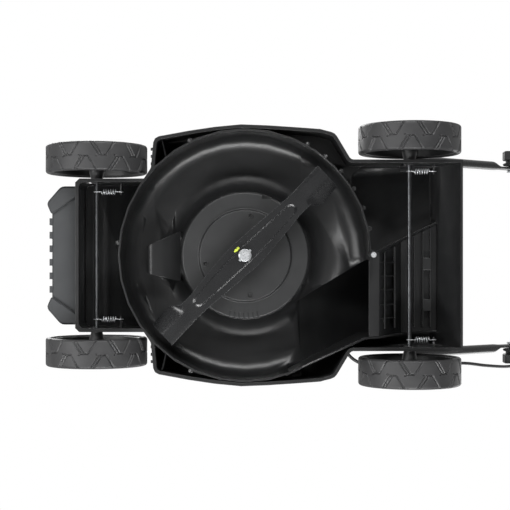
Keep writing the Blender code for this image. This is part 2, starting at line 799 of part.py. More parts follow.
def deck_shell():
    deck = plate("deck_shell", inset(body_outline(), RIM_PROUD), SKIRT_Z - 0.015, DECK_TOP,
                 rounding=TOP_ROUNDING)
    rim = plate("deck_rim", rim_outline(), SKIRT_Z - 0.010, SKIRT_Z + SKIRT_RIM)
    dome = turned("deck_dome", dome_profile(), CHAMBER_SIDES)
    recess = box("recess_block", (RECESS_FRONT_X - WALL, RECESS_LEFT - WALL, DECK_TOP),
                 (RECESS_BACK_X, RECESS_RIGHT + WALL, RECESS_ROOF + WALL))
    join(deck, rim, dome, recess, front_block(), rear_block(), tunnel_block("tunnel_walls", WALL))
    below = box("below_skirt", (-0.4, -0.3, 0.0), (0.5, 0.3, SKIRT_Z))
    chamber = turned("chamber_space", chamber_profile(), CHAMBER_SIDES)
    well = turned("motor_well", motor_well_profile(), 28)
    hollow = box("recess_space", (RECESS_FRONT_X, RECESS_LEFT, SEAT_Z + 0.02),
                 (RECESS_BACK_X, RECESS_RIGHT, RECESS_ROOF))
    seat = rod("boss_seat", (BOSS_X, BOSS_Y, SKIRT_Z - OVERRUN), (BOSS_X, BOSS_Y, boss_z() + 0.001),
               BOSS_RADIUS + GAP, 14)
    cut(deck, below, behind_rear_face("rear_trim", 0.0), pockets(), chamber, tunnel_block("tunnel_space", 0.0),
        well, hollow, seat)
    boss = rod("chute_boss", (BOSS_X, BOSS_Y, boss_z()), (BOSS_X, BOSS_Y, CHAMBER_ROOF), BOSS_RADIUS, 14)
    join(deck, front_arm(), boss, *ring_bosses(), *spring_pegs(), *deck_ribs(),
         *handle_ears(), *flap_ears())
    shaft_hole = rod("shaft_hole", (0, 0, SEAT_Z - 0.01), (0, 0, SEAT_Z + 0.02), 0.016, 24)
    rod_hole = rod("flap_rod_hole", (flap_hinge_x(), -0.2, HINGE_Z), (flap_hinge_x(), 0.2, HINGE_Z),
                   FLAP_ROD_RADIUS + GAP, 12)
    screw_hole = rod("chute_screw_hole", (BOSS_X, BOSS_Y, 0.04), (BOSS_X, BOSS_Y, FLOOR_LIP_Z + 0.02),
                     0.0028, 12)
    foot_holes = [rod("foot_bolt_hole", (FOOT_X, side * 0.14, FOOT_Z), (FOOT_X, side * 0.20, FOOT_Z),
                      HANDLE_BOLT_RADIUS + GAP, 12) for side in (-1, 1)]
    cut(deck, shaft_hole, rod_hole, screw_hole, *foot_holes,
        *axle_slots("front_slot", FRONT_AXLE_X, FRONT_WHEEL_RADIUS, FRONT_HALF - 0.010, FRONT_HALF + 0.01),
        *axle_slots("rear_slot", REAR_AXLE_X, REAR_WHEEL_RADIUS, REAR_HALF - 0.010, REAR_HALF + 0.01))
    for name, (left, front), (right, rear) in deck_regions():
        region = box(name + "_region", (front, left, -1), (rear, right, 1))
        piece = from_bmesh(name, mesh_copy(deck))
        combine(piece, "INTERSECT", [region])
        as_part(piece, "deck_black")


def mesh_copy(obj):
    bm = bmesh.new()
    bm.from_mesh(obj.data)
    return bm


def deck_regions():
    """The moulding is kept as five blocks, so that each one's collision can follow its own hollows."""
    gap = GAP / 2
    first = SPLIT_FRONT_X
    second = SPLIT_REAR_X
    middle = SPLIT_REAR_Y
    return (("deck_front", (-1, -1), (1, first - gap)),
            ("deck_left", (-1, first + gap), (-gap, second - gap)),
            ("deck_right", (gap, first + gap), (1, second - gap)),
            ("deck_rear_left", (-1, second + gap), (middle - gap, 1)),
            ("deck_rear_right", (middle + gap, second + gap), (1, 1)))


# Chute floor behind the chamber

def chute_floor():
    floor = plate("chute_floor", inset(tunnel_plan(), GAP), SKIRT_Z - 0.02, HINGE_Z)
    lip = BOSS_X - BOSS_RADIUS
    low = floor_corners()
    low[0] = (lip + GAP, FLOOR_LIP_Z)
    low[-1] = (low[-1][0] - GAP, FLOOR_REAR_Z)
    sheet = plate("floor_sheet", low + [(x, z + FLOOR_PLATE) for x, z in reversed(low)], -0.3, 0.3, axis="Y")
    trim(floor, sheet)
    tab = rod("floor_tab", (BOSS_X, BOSS_Y, FLOOR_LIP_Z), (BOSS_X, BOSS_Y, FLOOR_LIP_Z + FLOOR_PLATE - 0.0002),
              BOSS_RADIUS, 14)
    join(floor, tab, *floor_ribs())
    column = rod("boss_column", (BOSS_X, BOSS_Y, boss_z() - GAP / 2), (BOSS_X, BOSS_Y, 0.2), BOSS_RADIUS + GAP, 14)
    hole = rod("tab_hole", (BOSS_X, BOSS_Y, 0.04), (BOSS_X, BOSS_Y, 0.07), 0.0028, 12)
    cut(floor, column, hole)
    return as_part(floor, "deck_black")


def floor_ribs():
    """Grid of ribs under the floor's rise, cross ribs behind the axle, and two latch blocks."""
    start = BOSS_X - BOSS_RADIUS + FLOOR_STRIP
    ribs = []
    for y in (0.012, 0.036, 0.060, 0.086, 0.110):
        x0, x1 = start + 0.002, FLOOR_KNEE_X - 0.016
        outline = [(x0, floor_z(x0) + 0.001), (x0, floor_z(x0) - 0.002), (x1, floor_z(x1) - 0.014),
                   (x1, floor_z(x1) + 0.001)]
        ribs.append(plate("floor_rib", outline, y - 0.001, y + 0.001, axis="Y"))
    for x, half, depth in ((0.244, 0.001, 0.008), (0.2645, 0.0015, 0.013), (0.304, 0.0012, 0.009),
                           (0.319, 0.0012, 0.011), (0.333, 0.0012, 0.009)):
        left = tunnel_left_y(x) + 0.002
        outline = [(x - half, floor_z(x - half) + 0.001), (x - half, floor_z(x) - depth),
                   (x + half, floor_z(x) - depth), (x + half, floor_z(x + half) + 0.001)]
        ribs.append(plate("floor_rib", outline, left, TUNNEL_REAR_RIGHT - 0.002, axis="Y"))
    for y in (0.004, 0.078):
        ribs.append(box("floor_latch", (0.3185, y, FLOOR_REAR_Z - 0.014), (0.3335, y + 0.021, FLOOR_REAR_Z)))
    return ribs


def chute_screw():
    head = rod("chute_screw", (BOSS_X, BOSS_Y, FLOOR_LIP_Z - 0.0043), (BOSS_X, BOSS_Y, FLOOR_LIP_Z - GAP),
               0.0045, 16, end_radius=0.0052)
    shank = rod("chute_screw_shank", (BOSS_X, BOSS_Y, FLOOR_LIP_Z - 0.002), (BOSS_X, BOSS_Y, FLOOR_LIP_Z + 0.016),
                0.0024, 12)
    join(head, shank)
    return as_part(head, "zinc")


# Front bumper

def front_bumper():
    back = FRONT_X + RIM_PROUD - GAP
    core = both_sides([(BUMPER_FACE_X, BUMPER_FLAT_HALF + 0.010, 0.004), (back, BUMPER_HALF - 0.012, 0.004)])
    bumper = plate("front_bumper", rounded(core, 2), BUMPER_LOW + 0.006, BUMPER_HIGH, rounding=0.003)
    extras = []
    for side in (-1, 1):
        lobe = [(back - BLOCK_STEP, side * BUMPER_HALF, 0.004), (back - 0.030, side * BUMPER_HALF, 0.014),
                (BUMPER_LOBE_X, side * BUMPER_LOBE_HALF, 0.010), (BUMPER_FACE_X, side * BUMPER_FLAT_HALF, 0.004),
                (back - BLOCK_STEP, side * (BUMPER_HALF - 0.018), 0.004)]
        extras.append(plate("bumper_lobe", rounded(lobe, 3), BUMPER_LOW, BUMPER_HIGH + 0.004, rounding=0.003))
    for step in range(BUMPER_RIBS):
        y = (step - (BUMPER_RIBS - 1) / 2) * BUMPER_RIB_PITCH
        extras.append(box("bumper_rib", (BUMPER_FACE_X - 0.005, y - BUMPER_RIB_WIDTH / 2, BUMPER_LOW + 0.010),
                          (BUMPER_FACE_X + 0.004, y + BUMPER_RIB_WIDTH / 2, BUMPER_HIGH - 0.006)))
    join(bumper, *extras)
    return as_part(bumper, "bumper_grey")


# Motor and blade

def motor_cover():
    rim = COVER_RADIUS
    step = COVER_DISC_RADIUS
    profile = [(0.012, COVER_DISC_Z + COVER_SHEET), (0.012, COVER_DISC_Z), (step - 0.002, COVER_DISC_Z),
               (step + 0.001, COVER_RING_Z), (rim - 0.002, COVER_RING_Z), (rim, COVER_RING_Z + 0.002),
               (rim, SEAT_Z - GAP), (rim - 0.004, SEAT_Z - GAP), (rim - 0.004, COVER_RING_Z + COVER_SHEET),
               (step - 0.002, COVER_RING_Z + COVER_SHEET), (step - 0.005, COVER_DISC_Z + COVER_SHEET)]
    cover = turned("motor_cover", profile, 24)
    cuts = []
    for angle in (-82, 83, 168):
        x = COVER_SCREW_RADIUS * math.cos(math.radians(angle))
        y = COVER_SCREW_RADIUS * math.sin(math.radians(angle))
        cuts.append(rod("cover_screw_hole", (x, y, COVER_DISC_Z - 0.002), (x, y, COVER_DISC_Z + 0.01), 0.0032, 10))
    for step_index in range(7):
        angle = math.radians(77.5 + 4.5 * step_index)
        direction = Vector((math.cos(angle), math.sin(angle), 0))
        low = direction * (rim - 0.012)
        high = direction * (rim + 0.004)
        across = Vector((-direction.y, direction.x, 0)) * 0.0016
        outline = [(low + across)[:2], (high + across)[:2], (high - across)[:2], (low - across)[:2]]
        cuts.append(plate("vent_slot", outline, COVER_RING_Z - 0.003, COVER_RING_Z + 0.0015))
    notch = rounded([(0.029, -0.128, 0), (0.050, -0.122, 0), (0.047, -0.104, 0.003), (0.030, -0.100, 0.003)], 2)
    cuts.append(plate("cover_notch", notch, COVER_RING_Z - 0.003, SEAT_Z + 0.002))
    cut(cover, *cuts)
    return as_part(cover, "cover_black")


def motor_housing():
    low = SEAT_Z + SEAT_PLATE + GAP
    bore = SHAFT_RADIUS + RUNNING_GAP
    profile = [(bore, low), (MOTOR_FLANGE_RADIUS, low), (MOTOR_FLANGE_RADIUS, low + 0.004),
               (MOTOR_RADIUS, low + 0.004), (MOTOR_RADIUS, MOTOR_TOP - 0.012), (MOTOR_RADIUS - 0.004, MOTOR_TOP - 0.006),
               (MOTOR_RADIUS - 0.020, MOTOR_TOP - 0.004), (0.018, MOTOR_TOP - 0.003), (0.016, MOTOR_TOP),
               (bore, MOTOR_TOP)]
    housing = turned("motor_housing", profile, 20)
    fins = []
    for step in range(6):
        angle = math.radians(60 * step)
        fin = box("motor_fin", (MOTOR_RADIUS - 0.003, -0.0015, low + 0.003), (MOTOR_RADIUS + 0.004, 0.0015,
                  MOTOR_TOP - 0.016))
        fins.append(moved(fin, Matrix.Rotation(angle, 4, "Z")))
    join(housing, *fins)
    return as_part(housing, "motor_metal")


def motor_shaft():
    bottom = BLADE_Z + BLADE_THICKNESS + GAP
    bore = BOLT_RADIUS + GAP
    profile = [(0, SHAFT_TOP), (SHAFT_RADIUS - 0.001, SHAFT_TOP), (SHAFT_RADIUS, SHAFT_TOP - 0.001),
               (SHAFT_RADIUS, bottom), (bore, bottom), (bore, bottom + 0.018), (0, bottom + 0.018)]
    return as_part(turned("motor_shaft", profile, 14), "axle_steel")


def cooling_fan():
    low = MOTOR_TOP + 0.002
    bore = SHAFT_RADIUS + GAP
    profile = [(bore, low), (FAN_RADIUS, low), (FAN_RADIUS, low + 0.002), (0.014, low + 0.003),
               (0.012, low + FAN_HEIGHT), (bore, low + FAN_HEIGHT)]
    fan = turned("cooling_fan", profile, 16)
    blades = []
    for step in range(FAN_BLADES):
        blade = box("fan_blade", (0.012, -0.0008, low + 0.001), (FAN_RADIUS - 0.003, 0.0008, low + FAN_HEIGHT - 0.001))
        swing = Matrix.Translation((0, 0.008, 0))
        blades.append(moved(blade, Matrix.Rotation(math.tau * step / FAN_BLADES, 4, "Z") @ swing))
    join(fan, *blades)
    return as_part(fan, "fan_black")


def blade_section(reach):
    """Cut and back edges of the blade at a distance from its centre, with the sail's lift."""
    if reach < 0.118:
        share = reach / 0.118
        return 0.028 - 0.007 * share, 0.028 - 0.012 * share ** 1.5, 0.0
    if reach < 0.140:
        return 0.021, 0.016, 0.0
    share = min((reach - 0.140) / 0.020, 1.0)
    tip = (reach - 0.140) / (BLADE_HALF_LENGTH - 0.140)
    return 0.021 + 0.0034 * tip, 0.016 + 0.013 * share - 0.0046 * max(tip - 0.33, 0), SAIL_HEIGHT * share


def blade():
    """Stamped bar lofted from its sections, with raised sails at the back of both ends."""
    reaches = (0.0, 0.060, EMBOSS_HALF_LENGTH - 0.006, EMBOSS_HALF_LENGTH, 0.140, 0.150, 0.160,
               BLADE_HALF_LENGTH)
    stations = [-reach for reach in reversed(reaches[1:])] + list(reaches)
    shares = (-1.0, -0.82, -0.62, -0.48, 0.48, 0.62, 0.82, 1.0)
    bm = bmesh.new()
    rows = []
    for station in stations:
        end = 1 if station >= 0 else -1
        lead, trail, lift = blade_section(abs(station))
        embossed = abs(station) < EMBOSS_HALF_LENGTH - 0.003
        row = []
        for share in shares:
            across = share * (lead if share < 0 else trail)
            height = -EMBOSS_DEPTH if embossed and abs(share) < 0.5 else 0.0
            height += lift * max(share, 0.0) ** 1.4
            row.append(bm.verts.new((station, across * end, height)))
        rows.append(row if end > 0 else row[::-1])
    for first, second in zip(rows, rows[1:]):
        for i in range(len(shares) - 1):
            bm.faces.new((first[i], second[i], second[i + 1], first[i + 1]))
    obj = from_bmesh("blade", bm)
    sheet = obj.modifiers.new("thickness", "SOLIDIFY")
    sheet.thickness = BLADE_THICKNESS
    sheet.offset = 0
    obj = settled(obj)
    middle = BLADE_Z + BLADE_THICKNESS / 2 + EMBOSS_DEPTH
    moved(obj, Matrix.Translation((0, 0, middle)) @ Matrix.Rotation(BLADE_TURN, 4, "Z"))
    cut(obj, rod("blade_hole", (0, 0, BLADE_Z - 0.01), (0, 0, BLADE_Z + 0.02), BOLT_RADIUS + GAP, 16))
    return as_part(obj, "blade_black")


def blade_holder():
    """Flanged driver between the shaft and the blade."""
    low = BLADE_Z + BLADE_THICKNESS + GAP
    flange = low + EMBOSS_DEPTH
    bore = SHAFT_RADIUS + GAP
    profile = [(bore, low), (HOLDER_NECK, low), (HOLDER_NECK, flange), (HOLDER_RADIUS, flange),
               (HOLDER_RADIUS, flange + 0.003), (HOLDER_NECK, flange + 0.006), (HOLDER_NECK, flange + 0.015),
               (bore, flange + 0.015)]
    return as_part(turned("blade_holder", profile, 16), "motor_metal")


def blade_washer():
    high = BLADE_Z - GAP
    bore = BOLT_RADIUS + GAP
    profile = [(bore, high), (bore, high - WASHER_HEIGHT), (WASHER_RADIUS - 0.002, high - WASHER_HEIGHT),
               (WASHER_RADIUS, high - WASHER_HEIGHT + 0.0012), (WASHER_RADIUS, high)]
    washer = turned("blade_washer", profile, 16)
    ears = []
    for side in (-1, 1):
        ear = box("washer_ear", (side * WASHER_RADIUS - 0.0025, -0.002, high - 0.0018),
                  (side * WASHER_RADIUS + 0.0025, 0.002, high))
        ears.append(moved(ear, Matrix.Rotation(BLADE_TURN, 4, "Z")))
    join(washer, *ears)
    return as_part(washer, "zinc")


def blade_bolt():
    head_top = BLADE_Z - 2 * GAP - WASHER_HEIGHT
    head = rod("blade_bolt", (0, 0, head_top - BOLT_HEAD_HEIGHT), (0, 0, head_top), BOLT_HEAD_RADIUS, 6)
    shank = rod("blade_bolt_shank", (0, 0, head_top - 0.001), (0, 0, BLADE_Z + BLADE_THICKNESS + 0.016),
                BOLT_RADIUS, 16)
    join(head, shank)
    return as_part(head, "zinc")


# Hood, battery bay, lid and carry handle

def hood_ring(a, b, power, sides=20):
    points = []
    for step in range(sides):
        angle = math.tau * step / sides
        c, s = math.cos(angle), math.sin(angle)
        points.append((a * math.copysign(abs(c) ** (2 / power), c), b * math.copysign(abs(s) ** (2 / power), s)))
    return points


def hood_loft(name, shrink):
    """Stack of softening rounded sections from the deck to the flat top."""
    base = CHAMBER_ROOF + WALL + GAP
    rise = HOOD_TOP - shrink - base
    shares = ((0.0, 0.0), (0.30, 0.007), (0.62, 0.022), (0.84, 0.040), (1.0, 0.066))
    bm = bmesh.new()
    rings = []
    for share, draw in shares:
        a = HOOD_HALF_LENGTH - shrink - draw
        b = HOOD_HALF_WIDTH - shrink - draw * 0.85
        ring = hood_ring(a, b, 2.8)
        low = -OVERRUN if shrink and share == 0.0 else 0.0
        rings.append([bm.verts.new((HOOD_CENTRE_X + x, y, base + low + rise * share)) for x, y in ring])
    bm.faces.new(rings[0][::-1])
    bm.faces.new(rings[-1])
    for first, second in zip(rings, rings[1:]):
        for i in range(len(first)):
            j = (i + 1) % len(first)
            bm.faces.new((first[i], first[j], second[j], second[i]))
    return from_bmesh(name, bm)


def motor_hood():
    hood = hood_loft("motor_hood", 0.0)
    inside = hood_loft("hood_space", HOOD_SHELL)
    cut(hood, inside, tunnel_block("hood_tunnel_gap", WALL + GAP))
    wall = 0.0025
    bay = box("bay_block", (BAY_FRONT_X - wall, -BAY_HALF - wall, BAY_FLOOR_Z - wall),
              (BAY_REAR_X + wall, BAY_HALF + wall, HOOD_TOP - HOOD_SHELL / 2))
    hinge_x, hinge_z = lid_hinge_x(), lid_hinge_z()
    outline = rounded([(hinge_x - LID_BARREL_RADIUS, HOOD_TOP - 0.002, 0), (hinge_x + LID_BARREL_RADIUS, HOOD_TOP - 0.002, 0),
                       (hinge_x + LID_BARREL_RADIUS, hinge_z + LID_BARREL_RADIUS, LID_BARREL_RADIUS - 0.0001),
                       (hinge_x - LID_BARREL_RADIUS, hinge_z + LID_BARREL_RADIUS, LID_BARREL_RADIUS - 0.0001)], 2)
    near, far = lid_barrel_half(), lid_barrel_half() + LID_EAR_WIDTH
    ears = [plate("lid_ear", outline, near, far, axis="Y"), plate("lid_ear", outline, -far, -near, axis="Y")]
    join(hood, bay, *ears)
    space = box("bay_space", (BAY_FRONT_X, -BAY_HALF, BAY_FLOOR_Z), (BAY_REAR_X, BAY_HALF, HOOD_TOP + 0.01))
    pin = rod("lid_pin_hole", (hinge_x, -0.1, hinge_z), (hinge_x, 0.1, hinge_z),
              LID_PIN_RADIUS + GAP, 12)
    slots = []
    for side in (-1, 1):
        for step in range(4):
            x = -0.060 + 0.016 * step
            slots.append(box("hood_vent", (x, side * 0.10 - 0.05, 0.178), (x + 0.006, side * 0.10 + 0.05, 0.200)))
    start, ahead = Vector(cable_route()[0]), Vector(cable_route()[1])
    lead = (ahead - start).normalized() * CABLE_HOLE_REACH
    cable_hole = rod("cable_hole", start - lead, start + lead, CABLE_RADIUS + 2 * RUNNING_GAP, 10)
    cut(hood, space, pin, cable_hole, *slots)
    return as_part(hood, "hood_grey")


def lid_hinge_x():
    return BAY_REAR_X + LID_MARGIN + LID_BARREL_RADIUS + 0.001


def lid_hinge_z():
    return HOOD_TOP + GAP + LID_BARREL_RADIUS


def lid_barrel_half():
    return BAY_HALF - 0.010


def battery_lid():
    low = HOOD_TOP + GAP
    half = BAY_HALF + LID_MARGIN
    corners = [(BAY_FRONT_X - LID_MARGIN, -half, 0.012), (BAY_REAR_X + LID_MARGIN, -half, 0.006),
               (BAY_REAR_X + LID_MARGIN, half, 0.006), (BAY_FRONT_X - LID_MARGIN, half, 0.012)]
    lid = plate("battery_lid", rounded(corners), low, low + LID_THICKNESS, rounding=0.0018)
    barrel_end = lid_barrel_half() - GAP
    barrel = rod("lid_barrel", (lid_hinge_x(), -barrel_end, lid_hinge_z()), (lid_hinge_x(), barrel_end, lid_hinge_z()),
                 LID_BARREL_RADIUS, 16)
    web = box("lid_web", (BAY_REAR_X, -barrel_end, low + 0.001), (lid_hinge_x(), barrel_end, low + 0.005))
    join(lid, barrel, web)
    tab = box("lid_finger_tab", (BAY_FRONT_X - LID_MARGIN - 0.010, -0.016, low + 0.001),
              (BAY_FRONT_X, 0.016, low + 0.004))
    join(lid, tab)
    cut(lid, rod("lid_bore", (lid_hinge_x(), -0.1, lid_hinge_z()), (lid_hinge_x(), 0.1, lid_hinge_z()),
                 LID_PIN_RADIUS + GAP, 12))
    return as_part(lid, "hood_grey", (lid_hinge_x(), 0, lid_hinge_z()))


def lid_pin():
    end = lid_barrel_half() + LID_EAR_WIDTH
    return as_part(rod("lid_pin", (lid_hinge_x(), -end, lid_hinge_z()), (lid_hinge_x(), end, lid_hinge_z()),
                       LID_PIN_RADIUS, 12), "axle_steel")


def battery_pack():
    low = BAY_FLOOR_Z + GAP
    x0 = BAY_REAR_X - 0.003 - BATTERY_LENGTH
    x1 = BAY_REAR_X - 0.003
    half = BAY_HALF - 0.003
    corners = [(x0, -half, 0.006), (x1, -half, 0.006), (x1, half, 0.006), (x0, half, 0.006)]
    pack = plate("battery_pack", rounded(corners, 3), low, low + BATTERY_HEIGHT - 0.010, rounding=0.002)
    grip = [(x0 + 0.020, -half + 0.014, 0.006), (x1 - 0.020, -half + 0.014, 0.006),
            (x1 - 0.020, half - 0.014, 0.006), (x0 + 0.020, half - 0.014, 0.006)]
    crown = plate("battery_crown", rounded(grip, 3), low + BATTERY_HEIGHT - 0.020, low + BATTERY_HEIGHT,
                  rounding=0.002)
    join(pack, crown)
    return as_part(pack, "battery_black")


def safety_key():
    low = BAY_FLOOR_Z + GAP
    x = BAY_FRONT_X + 0.010
    stem = box("safety_key", (x - 0.004, -0.006, low), (x + 0.004, 0.006, low + 0.016))
    grip = plate("key_grip", arc((0, low + 0.026), 0.012, 0, 337.5, 15), x - 0.003, x + 0.003, axis="X")
    join(stem, grip)
    hole = rod("key_hole", (x - 0.02, 0, low + 0.028), (x + 0.02, 0, low + 0.028), 0.005, 10)
    cut(stem, hole)
    return as_part(stem, "key_red")


def carry_handle():
    low = HOOD_TOP + GAP
    high = HOOD_TOP + CARRY_RISE
    corner = 0.020
    right = [(0, CARRY_HALF, low), (0, CARRY_HALF, high - corner)]
    bend = [(0, CARRY_HALF - corner + corner * math.cos(a), high - corner + corner * math.sin(a))
            for a in (math.radians(22.5 * i) for i in range(1, 5))]
    half = [(CARRY_X, y, z) for _, y, z in right + bend]
    points = half + [(x, -y, z) for x, y, z in reversed(half)]
    handle = tube("carry_handle", points, CARRY_RADIUS, 1)
    feet = []
    for side in (-1, 1):
        corners = [(CARRY_X - 0.014, side * CARRY_HALF - 0.011, 0.006), (CARRY_X + 0.014, side * CARRY_HALF - 0.011,
                   0.006), (CARRY_X + 0.014, side * CARRY_HALF + 0.011, 0.006),
                   (CARRY_X - 0.014, side * CARRY_HALF + 0.011, 0.006)]
        feet.append(plate("carry_foot", rounded(corners, 3), low, low + 0.004))
    join(handle, *feet)
    return as_part(handle, "hood_grey")


# Wheels

def tyre_profile(radius, width):
    half = width / 2
    inner = radius - TYRE_DEPTH
    return [(radius - 0.0045, -half), (radius, -half + 0.005), (radius, half - 0.005), (radius - 0.0045, half),
            (inner, half - 0.003), (inner, -half + 0.003)]


def tread_grooves(radius, width):
    """Two staggered rows of slanted grooves."""
    grooves = []
    row_depth = width * 0.40
    for repeat in range(TREAD_REPEATS):
        for row in (-1, 1):
            middle = math.tau * (repeat + 0.25 * (1 + row)) / TREAD_REPEATS
            groove = box("tread_groove", (-GROOVE_WIDTH / 2, -row_depth / 2, -GROOVE_DEPTH),
                         (GROOVE_WIDTH / 2, row_depth / 2, 0.003))
            place = (Matrix.Rotation(middle, 4, "Y") @ Matrix.Translation((0, row * width * 0.24, radius))
                     @ Matrix.Rotation(row * GROOVE_LEAN, 4, "Z"))
            grooves.append(moved(groove, place))
    return grooves


def tyre_shape(name, radius, width):
    blank = turned(name, tyre_profile(radius, width), TYRE_SIDES, axis="Y")
    return cut(blank, *tread_grooves(radius, width))


def rim_profile(radius, width, boss):
    """Dished rim: open towards the mower, with its web near the outer side."""
    half = width / 2
    seat = radius - TYRE_DEPTH - GAP
    bore = AXLE_RADIUS + RUNNING_GAP
    web = half - RIM_WEB_DEPTH
    return [(bore, -half - boss), (HUB_RADIUS * 0.72, -half - boss), (HUB_RADIUS, -half + 0.004),
            (HUB_RADIUS + 0.001, web), (seat - RIM_FLANGE, web), (seat - RIM_FLANGE, -half + 0.003),
            (seat, -half + 0.003), (seat, half - 0.003), (seat - RIM_FLANGE, half - 0.004),
            (seat - RIM_FLANGE - 0.002, web + RIM_WEB), (bore, web + RIM_WEB)]


def rim_shape(name, radius, width, boss):
    rim = turned(name, rim_profile(radius, width, boss), TYRE_SIDES, axis="Y")
    half = width / 2
    seat = radius - TYRE_DEPTH - RIM_FLANGE
    spokes = []
    for step in range(RIM_SPOKES):
        spoke = box("rim_spoke", (HUB_RADIUS - 0.002, -half + 0.016, -0.002), (seat - 0.001, half - 0.016, 0.002))
        spokes.append(moved(spoke, Matrix.Rotation(math.tau * (step + 0.5) / RIM_SPOKES, 4, "Y")))
    return join(rim, *spokes)


def hubcap_shape(name, width):
    """Shallow dished cap on the outside of the rim's web, over the axle's end."""
    half = width / 2
    seat = half - RIM_WEB_DEPTH + RIM_WEB + GAP
    face = half - 0.002
    profile = [(0, face), (HUBCAP_RADIUS * 0.6, face - 0.001), (HUBCAP_RADIUS, face - 0.008), (HUBCAP_RADIUS, seat),
               (HUBCAP_RADIUS - 0.003, seat), (HUBCAP_RADIUS - 0.003, face - 0.009), (HUBCAP_RADIUS * 0.6, face - 0.004),
               (0, face - 0.003)]
    return turned(name, profile, 14, axis="Y")


def wheel_set(end, x, radius, inner, width, wall):
    """Tyre, rim and hubcap on both sides of one axle."""
    boss = inner - wall - 0.001
    middle = inner + width / 2
    shapes = {"tyre": (tyre_shape(end + "_tyre", radius, width), "tyre_grey"),
              "rim": (rim_shape(end + "_rim", radius, width, boss), "rim_black"),
              "hubcap": (hubcap_shape(end + "_hubcap", width), "rim_black")}
    for kind, (shape, material) in shapes.items():
        left = mirrored(end + "_left_" + kind, shape)
        shape.name = end + "_right_" + kind
        for side, obj in ((1, shape), (-1, left)):
            place = Vector((x, side * middle, radius))
            obj.data.transform(Matrix.Translation(place))
            as_part(obj, material, place)


def axle(name, x, radius, inner, width):
    end = inner + width - RIM_WEB_DEPTH + RIM_WEB + 0.002
    obj = rod(name, (x, -end, radius), (x, end, radius), AXLE_RADIUS, 14)
    return as_part(obj, "axle_steel", (x, 0, radius))


# Springs

def spring_length():
    return 2 * SPRING_LEAD + SPRING_PITCH * SPRING_CURLS


def front_peg_x():
    return FRONT_AXLE_X + spring_length()


def rear_peg_x():
    return REAR_AXLE_X + spring_length()


def axle_spring_points(x, y, z):
    """Hook round the axle, coil, and hook round the peg, as one line of wire."""
    rod_hook = AXLE_RADIUS + GAP + SPRING_WIRE / 2
    peg_hook = SPRING_PEG_RADIUS + GAP + SPRING_WIRE / 2
    peg = x + spring_length()
    points = [Vector((px, y, pz)) for px, pz in arc((x, z), rod_hook, 60, 270, 5)]
    start = x + SPRING_LEAD
    for step in range(SPRING_CURLS * CURL_POINTS + 1):
        turn = math.tau * step / CURL_POINTS
        points.append(Vector((start + SPRING_PITCH * step / CURL_POINTS, y + SPRING_RADIUS * math.sin(turn),
                              z - SPRING_RADIUS * math.cos(turn))))
    points += [Vector((px, y, pz)) for px, pz in arc((peg, z), peg_hook, 270, 470, 5)]
    return points


def least_self_gap(points, wire, skip):
    """Least distance between parts of the wire that aren't neighbours along it."""
    gap = min((points[i] - points[j]).length for i in range(len(points)) for j in range(i + skip, len(points)))
    return gap - wire


def axle_springs():
    for end, x, y, z in (("front", FRONT_AXLE_X, FRONT_SPRING_Y, FRONT_WHEEL_RADIUS),
                         ("rear", REAR_AXLE_X, REAR_SPRING_Y, REAR_WHEEL_RADIUS)):
        for side_name, side in (("left", -1), ("right", 1)):
            points = axle_spring_points(x, side * y, z)
            gap = least_self_gap(points, SPRING_WIRE, CURL_POINTS - 2)
            print(end, side_name, "axle spring least gap", round(gap * 1000, 2), "mm")
            obj = tube(end + "_" + side_name + "_spring", points, SPRING_WIRE / 2, 1)
            as_part(obj, "zinc")


# Rear flap

def flap_frame():
    """Directions down the closed flap and out of its face."""
    down = Vector((math.sin(REAR_RAKE), 0, -math.cos(REAR_RAKE)))
    out = Vector((math.cos(REAR_RAKE), 0, math.sin(REAR_RAKE)))
    return down, out


def flap_point(along, off):
    down, out = flap_frame()
    place = Vector((rear_face_x(HINGE_Z), 0, HINGE_Z)) + down * along + out * off
    return (place.x, place.z)


def rear_flap():
    left = TUNNEL_REAR_LEFT - FLAP_MARGIN
    right = TUNNEL_REAR_RIGHT + FLAP_MARGIN
    near, far = 0.0012, 0.0012 + FLAP_SHEET
    outline = [flap_point(0.030, near), flap_point(FLAP_LENGTH, near), flap_point(FLAP_LENGTH + 0.003, near + 0.006),
               flap_point(FLAP_LENGTH, near + 0.008), flap_point(FLAP_LENGTH - 0.004, far), flap_point(0.024, far),
               flap_point(0.006, far + 0.009), flap_point(0.004, far + 0.006), flap_point(0.014, near + 0.003)]
    flap = plate("rear_flap", outline, left, right, axis="Y")
    ear_left, ear_right = flap_ear_places()
    barrel_low = ear_left + FLAP_EAR_HALF + GAP
    barrel_high = ear_right - FLAP_EAR_HALF - GAP - flap_spring_room()
    x = flap_hinge_x()
    barrel = rod("flap_barrel", (x, barrel_low, HINGE_Z), (x, barrel_high, HINGE_Z), FLAP_BARREL_RADIUS, 16)
    ribs = []
    for step in range(5):
        y = left + 0.012 + (right - left - 0.024) * step / 4
        rib = [flap_point(0.034, far - 0.001), flap_point(FLAP_LENGTH - 0.006, far - 0.001),
               flap_point(FLAP_LENGTH - 0.016, far + 0.003), flap_point(0.044, far + 0.003)]
        ribs.append(plate("flap_rib", rib, y - 0.0012, y + 0.0012, axis="Y"))
    join(flap, barrel, *ribs)
    relief_cuts = []
    beside = FLAP_EAR_HALF + RUNNING_GAP
    for low, high in ((ear_left - beside, ear_left + beside), (barrel_high + GAP, ear_right + beside)):
        relief_cuts.append(box("flap_relief", (x - 0.05, low, HINGE_Z - 0.028), (x + 0.05, high, HINGE_Z + 0.03)))
    bore = rod("flap_bore", (x, -0.2, HINGE_Z), (x, 0.2, HINGE_Z), FLAP_ROD_RADIUS + GAP, 12)
    cut(flap, bore, *relief_cuts)
    return as_part(flap, "deck_black", (x, 0, HINGE_Z))


